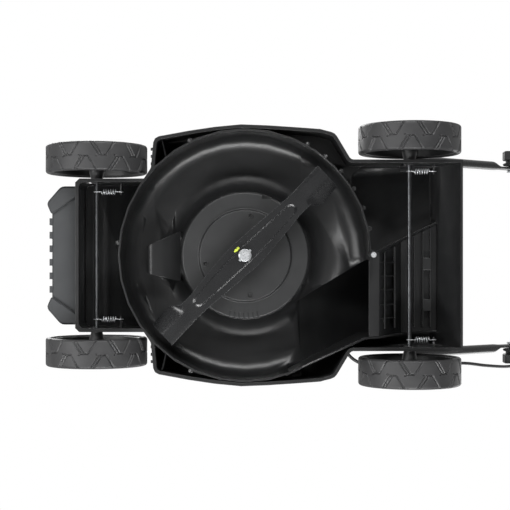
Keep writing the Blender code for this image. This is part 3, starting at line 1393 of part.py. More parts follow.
def flap_spring_room():
    return FLAP_SPRING_CURLS * FLAP_SPRING_PITCH + FLAP_SPRING_WIRE + 2 * GAP


def flap_rod():
    left, right = flap_ear_places()
    obj = rod("flap_rod", (flap_hinge_x(), left - 0.005, HINGE_Z), (flap_hinge_x(), right + 0.005, HINGE_Z),
              FLAP_ROD_RADIUS, 16)
    return as_part(obj, "axle_steel")


def flap_spring():
    """Torsion spring on the flap rod, with one leg on the flap and one on the deck."""
    right = flap_ear_places()[1]
    start = right - FLAP_EAR_HALF - GAP - FLAP_SPRING_WIRE / 2
    x = flap_hinge_x()
    points = []
    steps = FLAP_SPRING_CURLS * CURL_POINTS
    for step in range(steps + 1):
        turn = math.tau * step / CURL_POINTS
        points.append(Vector((x + FLAP_SPRING_RADIUS * math.cos(turn), start - FLAP_SPRING_PITCH * step / CURL_POINTS,
                              HINGE_Z - FLAP_SPRING_RADIUS * math.sin(turn))))
    first = points[0] + Vector((0.0, 0.0, 0.007))
    last = points[-1] + Vector((0.001, 0.0, -0.016))
    points = [first] + points + [last]
    gap = least_self_gap(points, FLAP_SPRING_WIRE, CURL_POINTS - 2)
    print("flap spring least gap", round(gap * 1000, 2), "mm")
    return as_part(tube("flap_spring", points, FLAP_SPRING_WIRE / 2, 1), "zinc")


# Handle

def lower_direction():
    return Vector((math.cos(LOWER_INCLINE), 0, math.sin(LOWER_INCLINE)))


def upper_direction():
    return Vector((math.cos(UPPER_INCLINE), 0, math.sin(UPPER_INCLINE)))


def upper_normal():
    """Direction off the upper handle's plane, towards the bail."""
    return Vector((-math.sin(UPPER_INCLINE), 0, math.cos(UPPER_INCLINE)))


def joint_point():
    rise = (JOINT_X - FOOT_X) * math.tan(LOWER_INCLINE)
    return Vector((JOINT_X, 0, FOOT_Z + rise))


def flatten(obj, joint, direction, side, shift):
    """Press a tube's end flat against its neighbour at the fold joint."""
    for vertex in obj.data.vertices:
        along = (vertex.co - joint).dot(direction)
        share = min(max((FLAT_LENGTH + FLAT_BLEND - along) / FLAT_BLEND, 0.0), 1.0)
        share = share * share * (3 - 2 * share)
        if vertex.co.y * side < 0:
            continue
        centre = side * TUBE_Y
        scale = 1 - share * (1 - FLAT_HALF / TUBE_RADIUS)
        vertex.co.y = centre + (vertex.co.y - centre) * scale + shift * share


def leg_stations(start, end, direction, from_joint):
    """Points along a leg, closer together where its end is pressed flat."""
    near = [0.0, 0.046, 0.052, 0.057, 0.062, 0.068]
    length = (end - start).length
    distances = near + [length]
    if not from_joint:
        distances = [length - d for d in reversed(distances)]
    return [start + direction * d for d in distances]


def lower_tube(name, side):
    direction = lower_direction()
    joint = joint_point()
    start = Vector((FOOT_X, 0, FOOT_Z)) - direction * 0.015
    end = joint + direction * TUBE_OVERHANG
    points = [p + Vector((0, side * TUBE_Y, 0)) for p in leg_stations(start, end, direction, False)]
    obj = tube(name, points, TUBE_RADIUS)
    flatten(obj, joint, -direction, side, -side * (FLAT_HALF + GAP / 2))
    holes = [rod("foot_hole", (FOOT_X, -0.3, FOOT_Z), (FOOT_X, 0.3, FOOT_Z), HANDLE_BOLT_RADIUS + GAP, 12),
             rod("joint_hole", (joint.x, -0.3, joint.z), (joint.x, 0.3, joint.z), HANDLE_BOLT_RADIUS + GAP, 12)]
    cut(obj, *holes)
    return as_part(obj, "tube_black")


def upper_points():
    """Middle line of the upper handle, from the right leg over the grip to the left leg."""
    joint = joint_point()
    direction = upper_direction()
    start = joint - direction * TUBE_OVERHANG
    bend_start = joint + direction * (UPPER_LENGTH - UPPER_CORNER)
    leg = leg_stations(start, bend_start, direction, True)
    centre = bend_start
    bend = [centre + direction * UPPER_CORNER * math.sin(a) + Vector((0, UPPER_CORNER * (math.cos(a) - 1), 0))
            for a in (math.radians(18 * i) for i in range(1, 6))]
    right = [p + Vector((0, TUBE_Y, 0)) for p in leg + bend]
    left = [Vector((p.x, -p.y, p.z)) for p in reversed(right)]
    return right + left


def handle_upper():
    joint = joint_point()
    obj = tube("handle_upper", upper_points(), TUBE_RADIUS)
    for side in (-1, 1):
        flatten(obj, joint, upper_direction(), side, side * (FLAT_HALF + GAP / 2))
    cut(obj, rod("fold_hole", (joint.x, -0.3, joint.z), (joint.x, 0.3, joint.z), HANDLE_BOLT_RADIUS + GAP, 12))
    return as_part(obj, "tube_black", joint)


def leg_place(distance, offset=0.0, y=0.0):
    """Point on the upper handle at a distance from the joint, off its plane and to one side."""
    return joint_point() + upper_direction() * distance + upper_normal() * offset + Vector((0, y, 0))


def leg_matrix(distance, y):
    """Frame on an upper leg: local X up the leg, local Z off its plane."""
    x, z = upper_direction(), upper_normal()
    y_axis = z.cross(x)
    turn = Matrix((x, y_axis, z)).transposed().to_4x4()
    return Matrix.Translation(leg_place(distance, 0.0, y)) @ turn


def grip():
    joint = joint_point()
    top = leg_place(UPPER_LENGTH)
    bore = TUBE_RADIUS + GAP
    profile = [(bore, -GRIP_HALF), (GRIP_RADIUS - 0.002, -GRIP_HALF), (GRIP_RADIUS, -GRIP_HALF + 0.003),
               (GRIP_RADIUS, GRIP_HALF - 0.003), (GRIP_RADIUS - 0.002, GRIP_HALF), (bore, GRIP_HALF)]
    return as_part(turned("grip", profile, 16, top, "Y"), "grip_foam", joint)


def bolt_pair():
    """Foot bolts through the deck ears, and joint bolts through the pressed tube ends."""
    joint = joint_point()
    for side_name, side in (("left", -1), ("right", 1)):
        inner = side * (REAR_HALF - 0.012 - GAP)
        outer = side * (TUBE_Y + TUBE_RADIUS + GAP)
        foot = rod("foot_bolt_" + side_name, (FOOT_X, inner - side * 0.004, FOOT_Z),
                   (FOOT_X, outer + side * 0.003, FOOT_Z), HANDLE_BOLT_RADIUS, 12)
        join(foot, rod("foot_nut", (FOOT_X, inner - side * 0.005, FOOT_Z), (FOOT_X, inner, FOOT_Z), 0.0058, 6),
             rod("foot_head", (FOOT_X, outer, FOOT_Z), (FOOT_X, outer + side * 0.0035, FOOT_Z), 0.0075, 16))
        as_part(foot, "zinc")
        low = side * (TUBE_Y - 2 * FLAT_HALF - GAP / 2 - GAP)
        high = side * (TUBE_Y + 2 * FLAT_HALF + 0.016)
        bolt = rod("joint_bolt_" + side_name, (joint.x, low - side * 0.002, joint.z), (joint.x, high, joint.z),
                   HANDLE_BOLT_RADIUS, 12)
        join(bolt, rod("bolt_head", (joint.x, low - side * 0.0035, joint.z), (joint.x, low, joint.z), 0.0075, 16))
        as_part(bolt, "zinc")


def knob(side_name, side):
    """Five-lobed clamping knob on the joint bolt."""
    joint = joint_point()
    base = TUBE_Y + 2 * FLAT_HALF + GAP / 2 + GAP
    outline = []
    for step in range(20):
        angle = math.tau * step / 20
        radius = KNOB_RADIUS - 0.0025 + 0.0025 * math.cos(5 * angle)
        outline.append((joint.x + radius * math.cos(angle), joint.z + radius * math.sin(angle)))
    low, high = sorted((side * (base + 0.005), side * (base + 0.005 + KNOB_LENGTH)))
    obj = plate("knob_" + side_name, outline, low, high, axis="Y", rounding=0.002)
    neck = rod("knob_neck", (joint.x, side * base, joint.z), (joint.x, side * (base + 0.008), joint.z), 0.0095, 14)
    join(obj, neck)
    bore = rod("knob_bore", (joint.x, side * (base - 0.01), joint.z), (joint.x, side * (base + 0.0165), joint.z),
               HANDLE_BOLT_RADIUS + GAP, 12)
    cut(obj, bore)
    return as_part(obj, "rim_black", joint)


def bail_pivot():
    return leg_place(UPPER_LENGTH - BAIL_PIVOT_REACH, BAIL_OFFSET)


def bail_lever():
    """Bent wire lever that stands off the grip until it is squeezed."""
    pivot = bail_pivot()
    arm = upper_direction() * math.cos(BAIL_OPEN) + upper_normal() * math.sin(BAIL_OPEN)
    corner = 0.030
    points = [pivot + Vector((0, BAIL_HALF + 0.014, 0)), pivot + Vector((0, BAIL_HALF + 0.006, 0))]
    points += [pivot + Vector((0, BAIL_HALF + 0.002, 0)), pivot + Vector((0, BAIL_HALF, 0)) + arm * 0.004]
    reach = BAIL_PIVOT_REACH - corner
    points += [pivot + Vector((0, BAIL_HALF, 0)) + arm * reach * share for share in (0.3, 0.7)]
    for step in range(0, 5):
        angle = math.radians(22.5 * step)
        points.append(pivot + arm * (reach + corner * math.sin(angle))
                      + Vector((0, BAIL_HALF - corner + corner * math.cos(angle), 0)))
    points += [Vector((p.x, -p.y, p.z)) for p in reversed(points)]
    return as_part(tube("bail_lever", points, BAIL_RADIUS, 1), "tube_black", pivot)


def leg_housing(name, side, length, outer):
    """Moulded block clamped round an upper leg, with the bail's bearing on its inner side."""
    distance = UPPER_LENGTH - BAIL_PIVOT_REACH
    inner = BAIL_HALF + BAIL_RADIUS + 0.001 - TUBE_Y
    corners = [(-length / 2, -0.0135, 0.006), (length / 2, -0.0135, 0.006), (length / 2, 0.020, 0.008),
               (0.016, BAIL_OFFSET + 0.010, 0.008), (-0.016, BAIL_OFFSET + 0.010, 0.008),
               (-length / 2, 0.020, 0.008)]
    low, high = sorted((side * inner, side * outer))
    block = plate(name, rounded(corners, 3), low, high, axis="Y", rounding=0.002)
    moved(block, leg_matrix(distance, side * TUBE_Y))
    leg = rod(name + "_leg", leg_place(distance - length, 0, side * TUBE_Y),
              leg_place(distance + length, 0, side * TUBE_Y), TUBE_RADIUS + GAP, 12)
    pin_low = bail_pivot() + Vector((0, side * (BAIL_HALF - 0.01), 0))
    pin_high = bail_pivot() + Vector((0, side * (BAIL_HALF + 0.016), 0))
    bearing = rod(name + "_bearing", pin_low, pin_high, BAIL_RADIUS + RUNNING_GAP, 16)
    cut(block, leg, bearing)
    return block


def switch_box():
    block = leg_housing("switch_box", 1, SWITCH_BOX_LENGTH, 0.026)
    centre = button_place()
    well = rod("button_well", centre - upper_normal() * 0.006, centre + upper_normal() * 0.02, 0.0085 + GAP, 16)
    cable = rod("cable_socket", leg_place(cable_end_distance() - 0.01, 0, cable_side_y()),
                leg_place(cable_end_distance() + 0.012, 0, cable_side_y()), CABLE_RADIUS + GAP, 12)
    cut(block, well, cable)
    return as_part(block, "hood_grey", joint_point())


def button_place():
    distance = UPPER_LENGTH - BAIL_PIVOT_REACH - SWITCH_BOX_LENGTH * 0.34
    return leg_place(distance, 0.0195, TUBE_Y + 0.004)


def start_button():
    centre = button_place()
    obj = rod("start_button", centre - upper_normal() * 0.0015, centre + upper_normal() * 0.006, 0.0085, 16)
    return as_part(obj, "key_red", centre)


def bail_bracket():
    return as_part(leg_housing("bail_bracket", -1, 0.044, 0.012), "hood_grey", joint_point())


# Switch cable and its clips

def cable_side_y():
    """Cable middle line where the clips hold it outside the right leg."""
    return TUBE_Y + TUBE_RADIUS + CLIP_WALL + CABLE_RADIUS + 2 * GAP


def cable_end_distance():
    return UPPER_LENGTH - BAIL_PIVOT_REACH - SWITCH_BOX_LENGTH / 2 + 0.006


def cable_route():
    """Points chosen by hand, from the hood past the rear wheel and up the handle."""
    loose = [(0.138, 0.0985, 0.190), (0.150, 0.115, 0.192), (0.166, 0.142, 0.193), (0.182, 0.170, 0.194),
             (0.204, 0.194, 0.199), (0.246, 0.210, 0.211), (0.300, 0.213, 0.223), (0.355, 0.208, 0.236),
             (0.414, 0.204, 0.258), (0.470, 0.212, 0.298), (0.524, 0.2175, 0.346), (0.580, 0.2140, 0.415)]
    y = cable_side_y()
    first, second = CLIP_DISTANCES
    distances = (first - 0.06, first - 0.03, first + 0.03, (first + second) / 2, second - 0.03, second + 0.03,
                 cable_end_distance() - 0.004)
    return loose + [tuple(leg_place(distance, 0, y)) for distance in distances]


def smooth_route(points, steps=3):
    """Points read from a smooth curve through a route's own points."""
    ends = [Vector(points[0]) * 2 - Vector(points[1])] + [Vector(p) for p in points]
    ends.append(Vector(points[-1]) * 2 - Vector(points[-2]))
    result = []
    for i in range(1, len(ends) - 2):
        for step in range(steps):
            t = step / steps
            a, b, c, d = ends[i - 1:i + 3]
            result.append(0.5 * (2 * b + (c - a) * t + (2 * a - 5 * b + 4 * c - d) * t ** 2
                                 + (3 * b - a - 3 * c + d) * t ** 3))
    result.append(ends[-2])
    return result


def cable():
    points = smooth_route(cable_route())
    length = sum((b - a).length for a, b in zip(points, points[1:]))
    print("cable length", round(length, 3), "m")
    return as_part(tube("switch_cable", points, CABLE_RADIUS, 1), "cable_black")


def cable_clips():
    for index, distance in enumerate(CLIP_DISTANCES, 1):
        half = CLIP_LENGTH / 2
        clamp = [(TUBE_RADIUS + GAP, -half), (TUBE_RADIUS + GAP + CLIP_WALL, -half),
                 (TUBE_RADIUS + GAP + CLIP_WALL, half), (TUBE_RADIUS + GAP, half)]
        eye = [(CABLE_RADIUS + GAP, -half), (CABLE_RADIUS + GAP + CLIP_WALL, -half),
               (CABLE_RADIUS + GAP + CLIP_WALL, half), (CABLE_RADIUS + GAP, half)]
        ring = turned("cable_clip_" + str(index), clamp, 10)
        loop = turned("clip_eye", eye, 8)
        turn = Vector((0, 0, 1)).rotation_difference(upper_direction()).to_matrix().to_4x4()
        moved(ring, Matrix.Translation(leg_place(distance, 0, TUBE_Y)) @ turn)
        moved(loop, Matrix.Translation(leg_place(distance, 0, cable_side_y())) @ turn)
        join(ring, loop)
        start, end = leg_place(distance - 0.02, 0, TUBE_Y), leg_place(distance + 0.02, 0, TUBE_Y)
        cable_start = leg_place(distance - 0.02, 0, cable_side_y())
        cable_end = leg_place(distance + 0.02, 0, cable_side_y())
        cut(ring, rod("clip_leg_space", start, end, TUBE_RADIUS + GAP, 12),
            rod("clip_cable_space", cable_start, cable_end, CABLE_RADIUS + GAP, 12))
        as_part(ring, "rim_black", joint_point())


# Assembly

def centre_on_frame():
    """Stand the mower with its frame's origin under the middle of its bounding box."""
    show_collection(parts, True)
    show_collection(tools, True)
    graph = bpy.context.evaluated_depsgraph_get()
    corners = []
    for obj in parts.objects:
        if obj.type == "MESH":
            shape = obj.evaluated_get(graph)
            corners += [shape.matrix_world @ Vector(corner) for corner in shape.bound_box]
    low = [min(corner[i] for corner in corners) for i in range(3)]
    high = [max(corner[i] for corner in corners) for i in range(3)]
    frame.location = (-(low[0] + high[0]) / 2, -(low[1] + high[1]) / 2, -low[2])
    print("size", [round(b - a, 4) for a, b in zip(low, high)])
    print("frame", [round(value, 5) for value in frame.location])
    return Vector(frame.location)


def print_joints(shift):
    joint = joint_point()
    places = {
        "front_wheel_left": (FRONT_AXLE_X, -(FRONT_TYRE_INNER + FRONT_TYRE_WIDTH / 2), FRONT_WHEEL_RADIUS),
        "rear_wheel_left": (REAR_AXLE_X, -(REAR_TYRE_INNER + REAR_TYRE_WIDTH / 2), REAR_WHEEL_RADIUS),
        "front_peg": (front_peg_x(), FRONT_SPRING_Y, FRONT_WHEEL_RADIUS),
        "rear_peg": (rear_peg_x(), REAR_SPRING_Y, REAR_WHEEL_RADIUS),
        "blade": (0, 0, BLADE_Z),
        "lid": (lid_hinge_x(), 0, lid_hinge_z()),
        "flap": (flap_hinge_x(), 0, HINGE_Z),
        "handle": joint,
        "bail": bail_pivot(),
        "button": button_place(),
        "button_axis": -upper_normal() - shift,
    }
    for name, place in places.items():
        print("place", name, [round(value, 5) for value in Vector(place) + shift])


def build():
    deck_shell()
    chute_floor()
    chute_screw()
    front_bumper()
    motor_cover()
    motor_housing()
    motor_shaft()
    cooling_fan()
    blade()
    blade_holder()
    blade_washer()
    blade_bolt()
    motor_hood()
    battery_lid()
    lid_pin()
    battery_pack()
    safety_key()
    carry_handle()
    wheel_set("front", FRONT_AXLE_X, FRONT_WHEEL_RADIUS, FRONT_TYRE_INNER, FRONT_TYRE_WIDTH, FRONT_HALF)
    wheel_set("rear", REAR_AXLE_X, REAR_WHEEL_RADIUS, REAR_TYRE_INNER, REAR_TYRE_WIDTH, REAR_HALF)
    axle("front_axle", FRONT_AXLE_X, FRONT_WHEEL_RADIUS, FRONT_TYRE_INNER, FRONT_TYRE_WIDTH)
    axle("rear_axle", REAR_AXLE_X, REAR_WHEEL_RADIUS, REAR_TYRE_INNER, REAR_TYRE_WIDTH)
    axle_springs()
    rear_flap()
    flap_rod()
    flap_spring()
    lower_tube("handle_lower_left", -1)
    lower_tube("handle_lower_right", 1)
    handle_upper()
    grip()
    bolt_pair()
    knob("left", -1)
    knob("right", 1)
    bail_lever()
    switch_box()
    start_button()
    bail_bracket()
    cable()
    cable_clips()
    bpy.context.view_layer.update()
    print_joints(centre_on_frame())


build()
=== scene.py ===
# Looks of the cordless lawn mower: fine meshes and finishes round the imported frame.
# Metres, Z up, X to the rear, Y to the mower's right side. The camera looks straight up from below.

import json
import math

import bmesh
import bpy
import numpy as np
from mathutils import Matrix, Vector

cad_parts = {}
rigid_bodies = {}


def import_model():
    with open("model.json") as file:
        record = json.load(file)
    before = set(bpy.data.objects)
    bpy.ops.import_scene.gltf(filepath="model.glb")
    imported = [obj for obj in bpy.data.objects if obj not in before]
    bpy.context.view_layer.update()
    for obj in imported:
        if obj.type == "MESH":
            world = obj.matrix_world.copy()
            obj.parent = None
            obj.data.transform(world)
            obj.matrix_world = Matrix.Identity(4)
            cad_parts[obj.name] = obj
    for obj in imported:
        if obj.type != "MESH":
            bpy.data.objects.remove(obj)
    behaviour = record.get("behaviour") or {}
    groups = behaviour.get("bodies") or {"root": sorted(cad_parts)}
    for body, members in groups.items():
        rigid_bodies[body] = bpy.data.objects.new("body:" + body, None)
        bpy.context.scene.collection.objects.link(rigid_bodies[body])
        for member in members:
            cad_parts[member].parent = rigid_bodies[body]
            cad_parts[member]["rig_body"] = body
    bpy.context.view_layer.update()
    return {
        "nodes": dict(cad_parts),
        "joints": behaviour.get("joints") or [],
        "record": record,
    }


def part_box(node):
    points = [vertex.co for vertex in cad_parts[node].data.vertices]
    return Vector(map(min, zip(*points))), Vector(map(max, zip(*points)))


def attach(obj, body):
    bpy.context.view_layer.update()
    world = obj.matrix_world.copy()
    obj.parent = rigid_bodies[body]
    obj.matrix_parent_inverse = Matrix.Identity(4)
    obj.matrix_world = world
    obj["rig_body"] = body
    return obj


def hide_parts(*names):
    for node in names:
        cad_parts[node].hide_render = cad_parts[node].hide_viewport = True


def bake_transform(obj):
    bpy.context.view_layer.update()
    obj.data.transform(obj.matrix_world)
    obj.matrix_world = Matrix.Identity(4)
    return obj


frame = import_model()
nodes = frame["nodes"]
slotOfNode = {item["node"]: item["material_slot"] for item in frame["record"]["subparts"]}
jointOf = {joint["name"]: joint for joint in frame["joints"]}
home = jointOf["blade_spin"]["pos_m"][0]
replaced = set()
print("stage: frame loaded,", len(nodes), "nodes")


# Materials

def addNode(tree, kind, inputs=None, **settings):
    node = tree.nodes.new(kind)
    for key, value in settings.items():
        setattr(node, key, value)
    for key, value in (inputs or {}).items():
        if isinstance(value, bpy.types.NodeSocket):
            tree.links.new(value, node.inputs[key])
        else:
            node.inputs[key].default_value = value
    return node


def noiseField(tree, place, scale, detail=2.0, stretch=(1, 1, 1)):
    turned = addNode(tree, "ShaderNodeMapping", {"Vector": place, "Scale": stretch})
    settings = {"Vector": turned.outputs[0], "Scale": scale, "Detail": detail}
    return addNode(tree, "ShaderNodeTexNoise", settings).outputs[0]


def remap(tree, value, fromLow, fromHigh, low, high):
    node = addNode(tree, "ShaderNodeMapRange", {"Value": value, "From Min": fromLow, "From Max": fromHigh,
                                                "To Min": low, "To Max": high})
    return node.outputs[0]


def mixColor(tree, factor, first, second):
    node = addNode(tree, "ShaderNodeMix", data_type="RGBA")
    for index, value in ((0, factor), (6, first), (7, second)):
        if isinstance(value, bpy.types.NodeSocket):
            tree.links.new(value, node.inputs[index])
        else:
            node.inputs[index].default_value = value
    return node.outputs[2]


def buildMaterial(slotName, look):
    material = bpy.data.materials.new(slotName)
    material.use_nodes = True
    material.diffuse_color = (*look["base"], 1.0)
    tree = material.node_tree
    tree.nodes.clear()
    place = addNode(tree, "ShaderNodeTexCoord").outputs["Object"]
    shader = addNode(tree, "ShaderNodeBsdfPrincipled", {"Metallic": look.get("metallic", 0.0)})
    shader.inputs["Specular IOR Level"].default_value = look.get("specular", 0.5)
    shader.inputs["Coat Weight"].default_value = look.get("coat", 0.0)
    shader.inputs["Coat Roughness"].default_value = look.get("coatRough", 0.2)
    output = addNode(tree, "ShaderNodeOutputMaterial")
    tree.links.new(shader.outputs[0], output.inputs["Surface"])
    stretch = look.get("stretch", (1, 1, 1))
    cloud = noiseField(tree, place, look.get("cloudScale", 26), 4.0)
    grain = noiseField(tree, place, look.get("grainScale", 900), 2.0, stretch)
    patches = remap(tree, cloud, 0.32, 0.68, 0.0, 1.0)
    color = mixColor(tree, patches, (*look["base"], 1), (*look["second"], 1))
    if "flecks" in look:
        fleck = remap(tree, noiseField(tree, place, look["fleckScale"], 1.0), 0.66, 0.72, 0.0, 1.0)
        color = mixColor(tree, fleck, color, (*look["flecks"], 1))
    rough = remap(tree, grain, 0.3, 0.7, look["rough"] - look.get("roughSpread", 0.06),
                  look["rough"] + look.get("roughSpread", 0.06))
    softNormal = None
    if "edgeRadius" in look:
        softNormal = addNode(tree, "ShaderNodeBevel", {"Radius": look["edgeRadius"]}, samples=6).outputs[0]
    if "edge" in look:
        flat = addNode(tree, "ShaderNodeNewGeometry").outputs["Normal"]
        both = {0: softNormal, 1: flat}
        alike = addNode(tree, "ShaderNodeVectorMath", both, operation="DOT_PRODUCT").outputs[1]
        worn = remap(tree, alike, 0.97, 0.80, 0.0, look.get("edgeAmount", 1.0))
        color = mixColor(tree, worn, color, (*look["edge"], 1))
    tree.links.new(color, shader.inputs["Base Color"])
    tree.links.new(rough, shader.inputs["Roughness"])
    bumpInputs = {"Strength": look.get("bump", 0.25), "Distance": look.get("bumpDepth", 0.0002),
                  "Height": grain}
    bump = addNode(tree, "ShaderNodeBump", bumpInputs)
    if softNormal is not None:
        tree.links.new(softNormal, bump.inputs["Normal"])
    tree.links.new(bump.outputs[0], shader.inputs["Normal"])
    return material


looks = {
    "deck_black": dict(base=(0.0085, 0.0088, 0.0092), second=(0.0125, 0.0127, 0.013), rough=0.34,
                       specular=0.5, grainScale=1100, bump=0.22, edgeRadius=0.0011),
    "cover_black": dict(base=(0.017, 0.0175, 0.018), second=(0.023, 0.0235, 0.024), rough=0.38,
                        grainScale=1300, bump=0.2, edgeRadius=0.0006),
    "bumper_grey": dict(base=(0.030, 0.032, 0.034), second=(0.037, 0.039, 0.041), rough=0.62, grainScale=1500,
                        bump=0.3, edgeRadius=0.0008),
    "tyre_grey": dict(base=(0.024, 0.024, 0.025), second=(0.033, 0.033, 0.034), rough=0.50, grainScale=700,
                      bump=0.15, cloudScale=40),
    "rim_black": dict(base=(0.011, 0.0112, 0.0115), second=(0.016, 0.0162, 0.0165), rough=0.42,
                      grainScale=1200),
    "zinc": dict(base=(0.74, 0.75, 0.76), second=(0.60, 0.62, 0.64), rough=0.30, metallic=0.7, grainScale=700,
                 cloudScale=160, bump=0.08, stretch=(1, 1, 3)),
    "axle_steel": dict(base=(0.17, 0.175, 0.18), second=(0.12, 0.125, 0.13), rough=0.36, metallic=1.0,
                       grainScale=500, cloudScale=90, bump=0.08, stretch=(4, 0.3, 4)),
    "blade_black": dict(base=(0.0070, 0.0072, 0.0078), second=(0.011, 0.0113, 0.012), rough=0.25,
                        specular=0.65, grainScale=520, bump=0.12, edgeRadius=0.0009,
                        edge=(0.16, 0.165, 0.17), edgeAmount=0.75),
    "motor_metal": dict(base=(0.36, 0.37, 0.38), second=(0.27, 0.28, 0.29), rough=0.42, metallic=1.0,
                        grainScale=800, bump=0.15),
    "fan_black": dict(base=(0.016, 0.016, 0.017), second=(0.022, 0.022, 0.023), rough=0.5, grainScale=1000),
    "hood_grey": dict(base=(0.040, 0.042, 0.045), second=(0.050, 0.052, 0.055), rough=0.45, grainScale=1200,
                      bump=0.2, edgeRadius=0.0012),
    "battery_black": dict(base=(0.012, 0.012, 0.013), second=(0.018, 0.018, 0.019), rough=0.5,
                          grainScale=1200),
    "key_red": dict(base=(0.36, 0.020, 0.014), second=(0.43, 0.028, 0.020), rough=0.36, grainScale=1000),
    "tube_black": dict(base=(0.0105, 0.0107, 0.011), second=(0.0145, 0.0147, 0.015), rough=0.30,
                       specular=0.55, grainScale=420, bump=0.10, coat=0.25),
    "grip_foam": dict(base=(0.014, 0.014, 0.015), second=(0.021, 0.021, 0.022), rough=0.86, specular=0.25,
                      grainScale=1500, bump=0.9, bumpDepth=0.0006),
    "cable_black": dict(base=(0.012, 0.012, 0.0125), second=(0.018, 0.018, 0.019), rough=0.48,
                        grainScale=900),
    "paint_mark": dict(base=(0.48, 0.56, 0.05), second=(0.40, 0.47, 0.04), rough=0.55, grainScale=600),
}
materials = {slotName: buildMaterial(slotName, look) for slotName, look in looks.items()}
print("stage: materials,", len(materials))


# Mesh helpers

def newObject(name, mesh, slotName):
    piece = bpy.data.objects.new(name, mesh)
    bpy.context.scene.collection.objects.link(piece)
    mesh.materials.clear()
    mesh.materials.append(materials[slotName])
    for polygon in mesh.polygons:
        polygon.material_index = 0
    return piece


def fromBmesh(name, bm, slotName, sharp=35):
    bmesh.ops.recalc_face_normals(bm, faces=bm.faces[:])
    mesh = bpy.data.meshes.new(name)
    bm.to_mesh(mesh)
    bm.free()
    mesh.shade_smooth()
    mesh.set_sharp_from_angle(angle=math.radians(sharp))
    return newObject(name, mesh, slotName)


# The piece with its modifiers applied, as a plain mesh.
def settle(piece):
    graph = bpy.context.evaluated_depsgraph_get()
    mesh = bpy.data.meshes.new_from_object(piece.evaluated_get(graph))
    materialList = list(piece.data.materials)
    piece.modifiers.clear()
    piece.data = mesh
    if not mesh.materials and materialList:
        mesh.materials.append(materialList[0])
    return piece


# Puts a finished piece on its body in place of these nodes.
def keep(piece, *nodeNames, body=None, slotName=None):
    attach(piece, body or nodes[nodeNames[0]]["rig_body"])
    if nodeNames:
        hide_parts(*nodeNames)
        replaced.update(nodeNames)
    return piece


# A closed outline with its corners rounded.
def filleted(points, radius, steps=3):
    result = []
    count = len(points)
    for index in range(count):
        before = Vector(points[index - 1])
        corner = Vector(points[index])
        after = Vector(points[(index + 1) % count])
        first = corner + (before - corner).normalized() * min(radius, (before - corner).length * 0.42)
        second = corner + (after - corner).normalized() * min(radius, (after - corner).length * 0.42)
        for step in range(steps + 1):
            share = step / steps
            point = first * (1 - share) ** 2 + corner * 2 * share * (1 - share) + second * share ** 2
            result.append(tuple(point))
    return result


# Turns a closed profile of (radius, height) round an axis.
def addLathe(bm, profile, sides, centre=(0, 0, 0), axis="Z"):
    rings = []
    for radius, height in profile:
        ring = []
        for step in range(sides):
            angle = math.tau * step / sides
            flat = (radius * math.cos(angle), radius * math.sin(angle))
            spot = (flat[0], flat[1], height) if axis == "Z" else (flat[0], height, flat[1])
            ring.append(bm.verts.new(Vector(spot) + Vector(centre)))
        rings.append(ring)
    for first, second in zip(rings, rings[1:] + rings[:1]):
        for step in range(sides):
            after = (step + 1) % sides
            bm.faces.new((first[step], first[after], second[after], second[step]))
    bmesh.ops.remove_doubles(bm, verts=bm.verts[:], dist=0.000002)
    return bm


def addCuboid(bm, place, size):
    made = bmesh.ops.create_cube(bm, size=1, matrix=place @ Matrix.Diagonal((*size, 1)))
    return made["verts"]


# A four-cornered block between two outlines of (x, z), at two places along Y.
def addSlab(bm, turn, lowOutline, lowY, highOutline, highY):
    low = [bm.verts.new(turn @ Vector((x, lowY, z))) for x, z in lowOutline]
    high = [bm.verts.new(turn @ Vector((x, highY, z))) for x, z in highOutline]
    bm.faces.new(low)
    bm.faces.new(high[::-1])
    for index in range(4):
        after = (index + 1) % 4
        bm.faces.new((low[index], high[index], high[after], low[after]))


def taper(start, end, startHalf, endHalf):
    return [(start, -startHalf), (end, -endHalf), (end, endHalf), (start, startHalf)]


def addRod(bm, start, end, radius, sides=16):
    start = Vector(start)
    direction = Vector(end) - start
    turn = direction.to_track_quat("Z", "Y").to_matrix().to_4x4()
    place = Matrix.Translation(start + direction / 2) @ turn
    bmesh.ops.create_cone(bm, cap_ends=True, segments=sides, radius1=radius, radius2=radius,
                          depth=direction.length, matrix=place)


# A round wire or tube along points, as a plain mesh.
def sweep(name, points, radius, slotName, sides=12):
    curve = bpy.data.curves.new(name, "CURVE")
    curve.dimensions = "3D"
    curve.bevel_depth = radius
    curve.bevel_resolution = max(1, sides // 4)
    curve.use_fill_caps = True
    spline = curve.splines.new("POLY")
    spline.points.add(len(points) - 1)
    for point, place in zip(spline.points, points):
        point.co = (*place, 1)
    maker = bpy.data.objects.new(name + "_line", curve)
    bpy.context.scene.collection.objects.link(maker)
    graph = bpy.context.evaluated_depsgraph_get()
    mesh = bpy.data.meshes.new_from_object(maker.evaluated_get(graph))
    bpy.data.objects.remove(maker)
    bpy.data.curves.remove(curve)
    bm = bmesh.new()
    bm.from_mesh(mesh)
    bpy.data.meshes.remove(mesh)
    bmesh.ops.remove_doubles(bm, verts=bm.verts[:], dist=0.000002)
    return fromBmesh(name, bm, slotName, 50)


